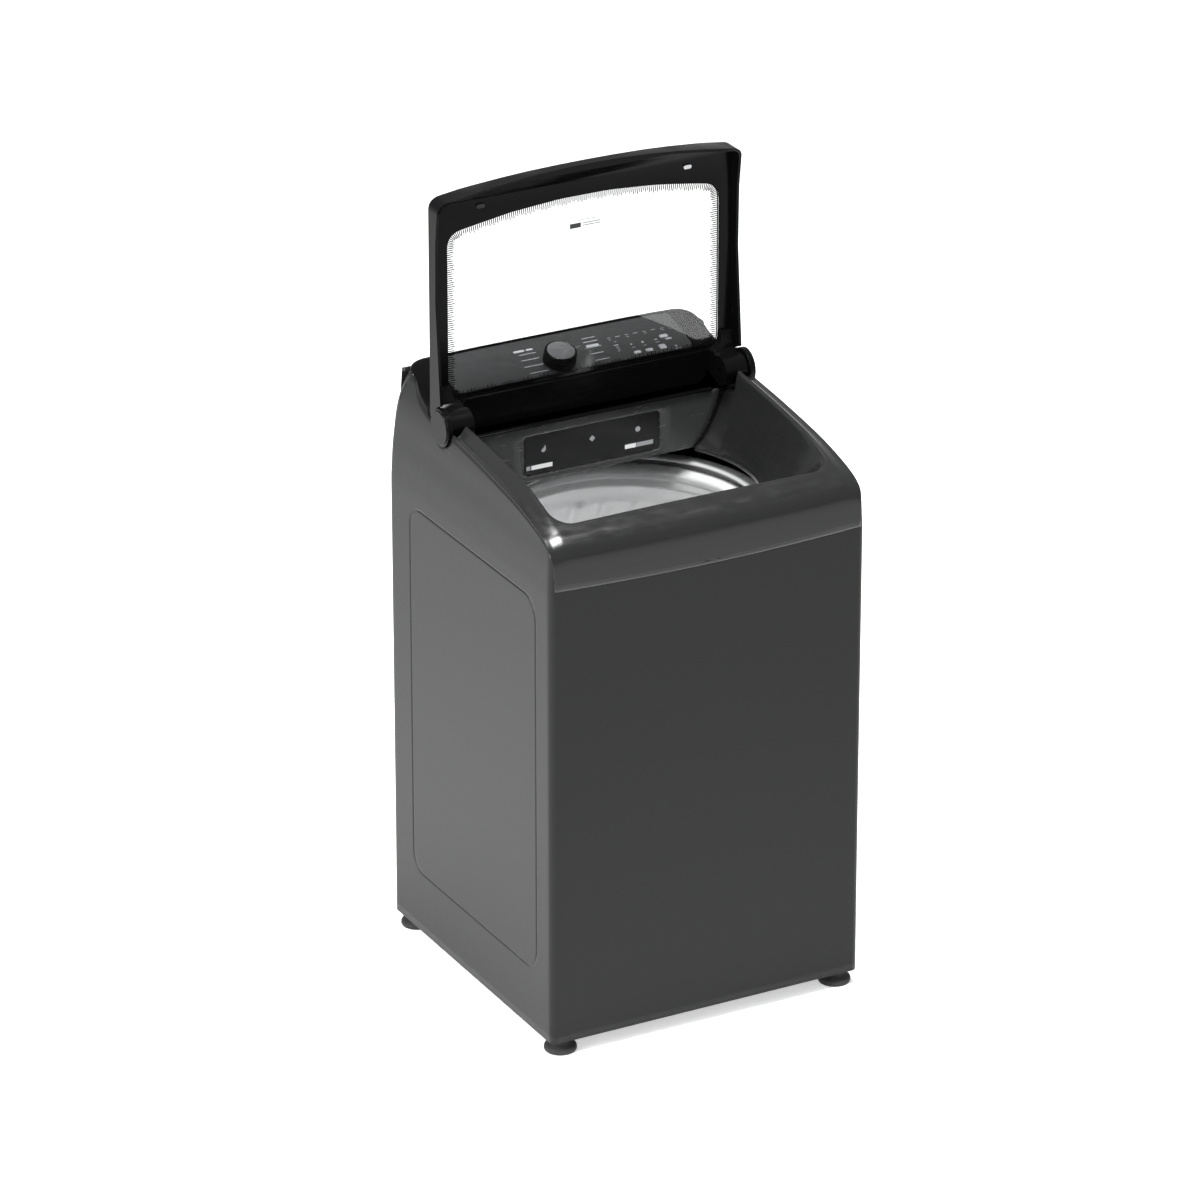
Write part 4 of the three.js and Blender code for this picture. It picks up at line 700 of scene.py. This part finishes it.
def make_console():
    """The housing: a wall that follows the body's lean, a rounded shoulder and a sloping top that
    stops at the recess of the face."""
    plan = Plan(spread((CONSOLE_FRONT + 3, HD - 16, 5)), front=20, corner=8, rear=[])
    side = plan.at[plan.kind == 2]
    rear = np.linspace(HW - 60, 0, 20)
    plan = Plan(side, front=20, corner=8, rear=rear)
    kind, at = plan.kind, plan.at
    along = np.clip((at - side[0]) / (side[-1] - side[0]), 0, 1)

    def wall(z, inset):
        x, y = plan.points(z, inset)
        r = 6.0
        turn = at * np.pi / 2
        half = HW + half_lean(z - SHOULDER) - inset
        y = np.where(kind == 0, CONSOLE_FRONT + inset, y)
        y = np.where(kind == 1, CONSOLE_FRONT + inset + r - r * np.cos(turn), y)
        x = np.where(kind == 0, at * (half - r), x)
        x = np.where(kind == 1, half - r + r * np.sin(turn), x)
        rear_round = np.maximum(corner_size(z - SHOULDER) - inset, 2.5)
        low, high = CONSOLE_FRONT + inset + r, HD + back_lean(z - SHOULDER) - inset - rear_round
        y = np.where(kind == 2, low + (high - low) * along, y)
        return x, y

    x, y = wall(np.full(len(at), HINGE_Z + 40.0), 0.0)
    for _ in range(4):
        crown = console_height(x, y)
        bottom = np.where(kind < 2, HINGE_Z - 1, SHOULDER + steel_top(y) + TOUCH)
        bottom = np.where((kind == 4) & (np.abs(x) < HW - 18), HINGE_Z + 10, bottom)
        round_size = np.clip(crown - bottom - 1, 2.5, np.choose(kind, [5.0, 9.0, 20.0, 18.0, 14.0]))
        x, y = wall(crown - round_size, 0.0)
    rows = []
    for share in np.linspace(0, 1, 7):
        z = bottom + (crown - round_size - bottom) * share
        x, y = wall(z, 0.0)
        rows.append(np.stack([x, y, z], axis=1))
    for turn in np.linspace(0, np.pi / 2, 9)[1:]:
        x, y = wall(crown - round_size, round_size * (1 - math.cos(turn)))
        z = console_height(x, y) - round_size * (1 - math.sin(turn))
        rows.append(np.stack([x, y, z], axis=1))
    edge = rows[-1]
    turn = at * np.pi / 2
    half, low, high, r = FACE_HIGH[0] + 0.6, FACE_LOW[1] - 0.6, FACE_HIGH[1] + 0.6, FACE_CORNER
    face_y = low + r + (high - low - 2 * r) * along
    face_x = np.where(kind == 4, at / (HW - 60) * (half - r), at * (half - r))
    fx = np.choose(kind, [face_x, half - r + r * np.sin(turn), half + 0 * at,
                          half - r + r * np.cos(turn), face_x])
    fy = np.choose(kind, [low + 0 * at, low + r - r * np.cos(turn), face_y,
                          high - r + r * np.sin(turn), high + 0 * at])
    for share in (0.2, 0.45, 0.7, 0.88, 0.98, 1.0):
        x = edge[:, 0] + (fx - edge[:, 0]) * share
        y = edge[:, 1] + (fy - edge[:, 1]) * share
        rows.append(np.stack([x, y, console_height(x, y)], axis=1))
    rows[-1][:, 2] -= 0.5
    rows.append(rows[-1] - np.array([0, 0, 2.0]))
    grid = mirrored(np.stack(rows), closed=True)
    made = grid_piece("console_shell", grid, "cabinet", "black_gloss", True, wall=2.2, sharp=50)
    replace(made, "console_housing")


# ---------------------------------------------------------------- printed marks
def rounded_bar(length, width, steps=4):
    """Outline of a flat bar with round ends, centred, anticlockwise."""
    r = width / 2
    arc = np.linspace(-np.pi / 2, np.pi / 2, steps + 1)
    right = np.stack([length / 2 - r + r * np.cos(arc), r * np.sin(arc)], axis=1)
    return np.concatenate([right, -right])


def block(length, width):
    """Outline of a plain rectangle, centred, anticlockwise."""
    return np.array([(1, -1), (1, 1), (-1, 1), (-1, -1)]) * np.array([length / 2, width / 2])


def polygon(radius, sides, start=0.0):
    """Outline of a regular polygon, or nearly a disc with many sides."""
    turn = start + np.linspace(0, 2 * np.pi, sides, endpoint=False)
    return radius * np.stack([np.cos(turn), np.sin(turn)], axis=1)


def marks(name, outlines, place, body, finish, rise=0.2):
    """Thin raised marks: each outline (n, 2) stands rise above its surface; place(u, v, w) gives the
    point of the surface coordinates u, v at w above it."""
    points, faces, count = [], [], 0
    for outline in outlines:
        n = len(outline)
        for lift in (-0.1, rise):
            points.append(place(outline[:, 0], outline[:, 1], lift))
        ring = np.arange(n)
        faces += [tuple(count + n + ring), tuple(count + ring[::-1])]
        faces += [(count + a, count + b, count + n + b, count + n + a)
                  for a, b in zip(ring, np.roll(ring, -1))]
        count += 2 * n
    mesh = bpy.data.meshes.new(name)
    mesh.from_pydata((np.concatenate(points) * MM).tolist(), [], [tuple(int(i) for i in f) for f in faces])
    mesh.validate()
    made = bpy.data.objects.new(name, mesh)
    bpy.context.scene.collection.objects.link(made)
    return finish_piece(made, body, finish)


def at(outline, u, v, turn=0.0):
    """The outline turned by an angle in degrees and moved to (u, v)."""
    c, s = math.cos(math.radians(turn)), math.sin(math.radians(turn))
    return outline @ np.array([[c, s], [-s, c]]) + np.array([u, v])


def on_console(x, y, w):
    """A point of the console's face at plan position (x, y), lifted square to the slope."""
    tilt = math.atan(SLOPE)
    z = console_height(x, y) - 0.2
    return np.stack([x, y - w * math.sin(tilt), z + w * math.cos(tilt)], axis=1)


def make_console_face():
    """The inset face: rings shrinking from its rounded outline to its middle, laid on the slope."""
    turns = np.linspace(0, 2 * np.pi, 240, endpoint=False)
    middle = (FACE_LOW[1] + FACE_HIGH[1]) / 2
    reach = rounded_rectangle(FACE_LOW[:2], FACE_HIGH[:2], FACE_CORNER, turns)
    share = np.array([1, 0.999, 0.97, 0.8, 0.6, 0.4, 0.2, 0.03])[:, None]
    x, y = share * reach * np.cos(turns), middle + share * reach * np.sin(turns)
    z = console_height(x, y) - 0.2 - 0.6 * (share > 0.9995)
    grid = np.stack([x, y, z], axis=2)
    made = grid_piece("console_panel", grid, "cabinet", "console_black", True, wall=1.4)
    replace(made, "console_face")


def make_console_marks():
    """Cycle lines fanned beside the knob, a column of option marks and the display's small signs."""
    knob_y = (corners("cycle_knob")[0][1] + corners("cycle_knob")[1][1]) / 2 + 4
    rows = np.array([-29, -15, 3, 20, 35, 45])
    left = [at(rounded_bar(34 + 4 * math.cos(row / 20), 1.5), -71 + 0.12 * abs(row), knob_y + row)
            for row in rows[:5]]
    right = [at(rounded_bar(32 - 3 * (k % 3), 1.5), 56 + 0.1 * abs(row), knob_y + row)
             for k, row in enumerate(rows)]
    dots = ((-98, 176), (-44, 177), (30, 177), (98, 203), (103, 228))
    small = [at(block(4, 1.2), x, y) for x, y in dots]
    signs = [
        at(polygon(3.0, 3, 0.5), 206, 189), at(polygon(2.2, 4), 128, 214),
        at(polygon(2.4, 20), 151, 214), at(rounded_bar(9, 2), 100, 219),
        at(block(6, 1.2), 100, 213), at(block(5, 1.2), 100, 208),
        at(rounded_bar(6, 2.4), 178, 214), at(block(7, 1), 128, 205),
        at(block(6, 1), 151, 205), at(block(8, 1), 178, 207), at(block(10, 1.2), 206, 182)]
    top_row = [at(block(6 + 3 * (k % 2), 1.1), 96 + 18 * k, 240) for k in range(7)]
    top_row += [at(block(5, 1.0), 96 + 18 * k, 235) for k in range(0, 7, 2)]
    marks("console_lines", left + right + small + top_row, on_console, "cabinet", "key_grey", 0.15)
    marks("console_signs", signs, on_console, "cabinet", "key_grey", 0.15)
    bright = [at(rounded_bar(22, 5), -79, knob_y + 45), at(rounded_bar(26, 5.5), 58, knob_y + 24)]
    marks("console_pills", bright, on_console, "cabinet", "light_plastic", 0.2)
    soft = [at(rounded_bar(14, 4.4), -58, knob_y + 45), at(rounded_bar(13, 4), 202, 211)]
    marks("console_soft_pills", soft, on_console, "cabinet", "key_grey", 0.2)


def make_drawer_marks():
    """Three light signs over the drawer's bays and two label patches at its lower edge."""
    front = DRAWER_LOW[1]

    def place(x, z, w):
        return np.stack([x, front - w + 0 * x, z], axis=1)

    low = DRAWER_LOW[2]
    drop = np.array([(3, -4), (4, 0), (2, 4), (0, 7), (-1, 2), (-4, -3), (-1, -6)]) * 1.1
    signs = [at(drop, -97, low + 46, -20), at(polygon(6, 4), 0, low + 47), at(polygon(5, 24), 92, low + 47)]
    marks("drawer_signs", signs, place, "drawer", "light_plastic", 0.3)
    patches = [at(block(42, 8), -101, low + 14), at(block(22, 8), 77, low + 17)]
    marks("drawer_labels", patches, place, "drawer", "label_white", 0.2)
    ends = [at(block(8, 8), -128, low + 14), at(block(34, 8), 106, low + 17)]
    marks("drawer_label_ends", ends, place, "drawer", "light_plastic", 0.2)


# ---------------------------------------------------------------- lid glass print
GLASS_LOW, GLASS_HIGH = corners("lid_glass")
GLASS_SEAT = 7.4


def glass_outline(grow):
    """The glass opening: straight sides, round corners and an arched front edge, as quadratic curves."""
    r = 30.0
    w = GLASS_HIGH[0] - GLASS_SEAT + grow
    low = GLASS_LOW[2] + GLASS_SEAT - grow
    high = GLASS_LOW[2] + 314 + GLASS_SEAT + grow
    t = np.linspace(0, 1, 40)[:, None]

    def bend(a, b, c):
        return (1 - t) ** 2 * np.array(a) + 2 * t * (1 - t) * np.array(b) + t**2 * np.array(c)

    return np.concatenate([
        bend((w, low + r), (w, (low + high) / 2), (w, high - r)),
        bend((w, high - r), (w, high), (w - r, high + 4)),
        bend((w - r, high + 4), (0, high + 50), (-w + r, high + 4)),
        bend((-w + r, high + 4), (-w, high), (-w, high - r)),
        bend((-w, high - r), (-w, (low + high) / 2), (-w, low + r)),
        bend((-w, low + r), (-w, low), (-w + r, low)),
        bend((-w + r, low), (0, low), (w - r, low)),
        bend((w - r, low), (w, low), (w, low + r))])


def even_steps(outline, step):
    """Points an even step apart along a closed outline, with their inward unit normals."""
    closed = np.concatenate([outline, outline[:1]])
    length = np.concatenate([[0], np.cumsum(np.hypot(*np.diff(closed, axis=0).T))])
    count = int(length[-1] / step)
    place = np.linspace(0, length[-1], count, endpoint=False)
    points = np.stack([np.interp(place, length, closed[:, k]) for k in (0, 1)], axis=1)
    ahead = np.stack([np.interp((place + 1) % length[-1], length, closed[:, k]) for k in (0, 1)], axis=1)
    along = (ahead - points) / np.linalg.norm(ahead - points, axis=1, keepdims=True)
    return points, np.stack([-along[:, 1], along[:, 0]], axis=1)


def make_glass_print():
    """The fired-on black border of the glass: a solid line and a fringe of ticks, and two label bars."""
    face = GLASS_LOW[1]

    def place(x, z, w):
        return np.stack([x, face - w + 0 * x, z], axis=1)

    points, inward = even_steps(glass_outline(-0.3), 4.0)
    ticks = []
    for k, (point, normal) in enumerate(zip(points, inward)):
        long = 12 + 2.5 * (k % 2) + 1.5 * math.sin(k * 0.7)
        turn = math.degrees(math.atan2(normal[1], normal[0]))
        ticks.append(at(block(long, 1.8), *(point + normal * long / 2), turn))
    marks("glass_ticks", ticks, place, "lid", "black_gloss", 0.12)
    points, inward = even_steps(glass_outline(0.2), 6.0)
    rings = [points + inward * 0, points + inward * 2.4]
    grid = np.stack([place(*rings[0].T, 0.15), place(*rings[1].T, 0.15), place(*rings[1].T, -0.05),
                     place(*rings[0].T, -0.05)])
    grid_piece("glass_border", grid[::-1], "lid", "black_gloss", True, close_rows=True)
    top = GLASS_LOW[2] + 290
    marks("glass_label", [at(block(22, 9), -16, top)], place, "lid", "console_black", 0.1)
    lines = [
        at(block(36, 2.2), 16, top + 2.6), at(block(36, 2.2), 16, top - 1.6),
        at(block(40, 1.4), 8, top + 9)]
    marks("glass_label_lines", lines, place, "lid", "key_grey", 0.1)


# ---------------------------------------------------------------- knob and feet
def make_knob():
    """A knob with a finely fluted side and a dished cap, turned round the square to the console."""
    low, high = corners("cycle_knob")
    tilt = math.atan(SLOPE)
    axis = np.array([0, -math.sin(tilt), math.cos(tilt)])
    side = np.array([0, math.cos(tilt), math.sin(tilt)])
    foot_y = CONSOLE_FRONT + 35
    foot = np.array([(low[0] + high[0]) / 2, foot_y, console_height((low[0] + high[0]) / 2, foot_y)])
    radius = (high[0] - low[0]) / 2

    def spun(name, profile, finish, flutes=0, depth=0.0):
        turn = np.linspace(0, 2 * np.pi, 240, endpoint=False)
        rim = ease((profile[:, :1] - radius + 3) / 2)
        r = profile[:, :1] - depth * rim * (0.5 + 0.5 * np.cos(flutes * turn))
        grid = (foot + (r * np.cos(turn))[..., None] * np.array([1, 0, 0])
                + (r * np.sin(turn))[..., None] * side + profile[:, 1:, None] * axis)
        return grid_piece(name, grid, "knob", finish, True)

    height = 27.0
    skirt = [(0.02, 1.3), (radius - 2, 1.3), (radius - 0.3, 2.2), (radius, 4), (radius - 0.8, height - 3.5),
             (radius - 1.5, height - 1.6), (radius - 3.2, height - 0.9), (radius - 4.2, height - 1.4),
             (radius - 4.6, height - 2.6), (0.02, height - 2.6)]
    body = spun("knob_body", np.array(skirt), "black_gloss", 60, 0.5)
    replace(body, "cycle_knob")
    cap = [(radius - 4.9, height - 2.5), (radius - 4.9, height - 0.9), (radius - 5.6, height - 0.35),
           (radius - 9, height - 0.3), (10, height - 0.8), (0.02, height - 1.0)]
    spun("knob_cap", np.array(cap), "knob_top")


def make_feet():
    """Rubber feet: a rolled pad under a short neck, on a threaded stud."""
    for node in [n for n in frame["nodes"] if n.startswith("foot_")]:
        low, high = corners(node)
        centre = (low + high) / 2
        r = (high[0] - low[0]) / 2
        stud = np.linspace(FOOT - 1, high[2] - 1, 40)
        thread = 5.6 + 0.35 * np.sin(stud * 2 * np.pi / 2.0)
        base = low[2]
        profile = [
            (0.02, base), (r - 4, base), (r - 1.2, base + 1), (r, base + 3.5), (r - 0.2, base + 8),
            (r - 2, base + 11), (r - 8, base + 13), (17, base + 15), (15.5, base + 18),
            (15, FOOT - 1), (6, FOOT - 0.6), *zip(thread[2:], stud[2:]), (0.02, high[2])]
        made = turned(node + "_pad", profile, "cabinet", "black_rubber", centre[:2], 64, sharp=50)
        replace(made, node)


# ---------------------------------------------------------------- tub cover, ring, basket, impeller
TUB_LOW, TUB_HIGH = corners("tub_cover")
RING_LOW, RING_HIGH = corners("balance_ring")
BASKET_LOW, BASKET_HIGH = corners("basket")
IMPELLER_LOW, IMPELLER_HIGH = corners("impeller")
TONGUE_DEPTH = 34.0
RIBS, LOZENGES, FINS = 9, 54, 6


def hoop(radius, height, turn):
    """Points round +Z at a radius and a height, either of which may vary with the turn."""
    return np.stack([radius * np.cos(turn), radius * np.sin(turn), height + 0 * turn], axis=1)


def make_tub_cover():
    """A lipped ring whose mouth narrows under the drawer: the inner radius eases in and out with the
    turn, which draws the S-shaped edges."""
    outer, top, low = TUB_HIGH[0], TUB_HIGH[2], TUB_LOW[2]
    turn = np.linspace(0, 2 * np.pi, 288, endpoint=False)
    degrees = np.degrees(turn)
    inside = ease((degrees - 54) / 18) * (1 - ease((degrees - 134) / 18))
    mouth = outer - 38 - TONGUE_DEPTH * inside
    near = [(7, top), (3, top - 0.6), (0.8, top - 2.4), (0, top - 4.6), (0.8, top - 6.6),
            (3, top - 7.4), (9, top - 6.4)]
    far = [(outer - 14, top - 7.6), (outer - 11, low + 3), (outer - 10, low), (outer, low),
           (outer, low + 5), (outer - 2, low + 7), (outer - 9, top - 5), (outer - 12, top - 1.2),
           (outer - 16, top)]
    rows = [hoop(mouth + step, z, turn) for step, z in near] + [hoop(r, z, turn) for r, z in far]
    grid = np.stack(rows[::-1])
    replace(grid_piece("tub_cover_ring", grid, "tub", "tub_grey", True, True, sharp=60), "tub_cover")


def make_ring_and_basket():
    """The balance ring is a rolled ring with a fine step; the basket is a drawn drum with a smooth band
    under the ring, then a wall of leaning lozenges between upright ribs."""
    inner, outer, low, top = RING_HIGH[0] - 28, RING_HIGH[0], RING_LOW[2], RING_HIGH[2]
    profile = rounded_profile([
        (inner, low), (outer, low), (outer, top - 5), (outer - 6, top), (inner + 14, top),
        (inner + 2, top - 8), (inner + 1.4, top - 20), (inner + 2.6, top - 22)], 7, 6)
    made = turned("balance_ring_roll", profile, "basket", "ring_grey", around=192, closed=True, sharp=60)
    replace(made, "balance_ring")
    radius, floor, rim = BASKET_HIGH[0], BASKET_LOW[2], BASKET_HIGH[2]
    bore = 34.0
    around = 576
    turn = np.linspace(0, 2 * np.pi, around, endpoint=False)
    level = np.concatenate([np.linspace(rim, rim - 30, 4), np.linspace(rim - 34, floor + 40, 74)])
    heights = np.repeat(level[:, None], around, axis=1)
    rib_pitch = 2 * np.pi / RIBS
    rib = np.exp(-((np.mod(turn + rib_pitch / 2, rib_pitch) - rib_pitch / 2) / 0.035) ** 2)
    lean = turn * LOZENGES + heights / 30.0
    lozenge = np.maximum(np.sin(lean) * np.sin(heights / 13.0 + 0.5 * turn * LOZENGES), 0) ** 1.5
    fade = ease((rim - 34 - heights) / 6) * ease((heights - floor - 45) / 20)
    wall = radius - 1.2 - fade * (2.2 * lozenge * (1 - rib) + 5.0 * rib)
    wall = wall - 1.6 * ease((rim - 28 - heights) / 4)
    curve = np.linspace(0, np.pi / 2, 12)[1:]
    toe = [(radius - 2.8 - 32 * (1 - math.cos(a)), floor + 1 + 39 - 39 * math.sin(a)) for a in curve]
    toe += [(radius * 0.6, floor + 1.0), (bore, floor + 1.0)]
    rows = [hoop(wall[k], heights[k], turn) for k in range(len(level))]
    rows += [hoop(r, z, turn) for r, z in toe]
    # the drum is painted near white: painted reflection for lit stainless steel
    made = grid_piece("basket_drum", np.stack(rows), "basket", "drum_painted_sheen", True, sharp=60, wall=0.9)
    replace(made, "basket")


def make_impeller():
    """A low dish with a domed hub and six swept fins: the height is the dish plus a ridge that narrows
    outwards and bends with the radius."""
    low, high = IMPELLER_LOW[2], IMPELLER_HIGH[2]
    reach = IMPELLER_HIGH[1]
    r = np.concatenate([[9.5, 14, 20], np.linspace(26, reach - 4, 44), [reach - 1.5, reach - 0.3]])[:, None]
    turn = np.linspace(0, 2 * np.pi, 288, endpoint=False)[None, :]
    dish = Curve([
        (0, 33), (20, 33), (34, 30), (60, 17), (95, 9), (reach - 20, 10), (reach - 8, 9), (reach, 5)])
    swept = turn * FINS - 1.1 * np.sin(r / reach * 2.6)
    width = 0.24 + 0.25 * (r / reach)
    ridge = np.exp(-(np.sin(swept / 2) / width) ** 2)
    fin = ridge * 19 * ease((r - 22) / 25) * ease((reach - 6 - r) / 26)
    z = low + np.maximum(dish(r) + fin * (1 - 0.55 * ease((60 - r) / 30)), 2) + 0 * turn
    z = np.minimum(z, high)
    top = np.stack([r * np.cos(turn), r * np.sin(turn), z], axis=2)
    bottom = top[[-1, 0]] * np.array([1, 1, 0]) + np.array([0, 0, low + 0.3])
    grid = np.concatenate([top, bottom])[::-1]
    replace(grid_piece("wash_plate", grid, "impeller", "tub_plastic", True, True, sharp=60), "impeller")


make_camera()
make_light()
make_floor()
make_cabinet()
make_well_back(make_cover())
make_console()
make_console_face()
make_console_marks()
make_drawer_marks()
make_glass_print()
make_knob()
make_feet()
make_tub_cover()
make_ring_and_basket()
make_impeller()

# nodes whose own solid, with rounded edges, is the finished form
for node in sorted(set(frame["nodes"]) - replaced):
    dressed_copy(node)
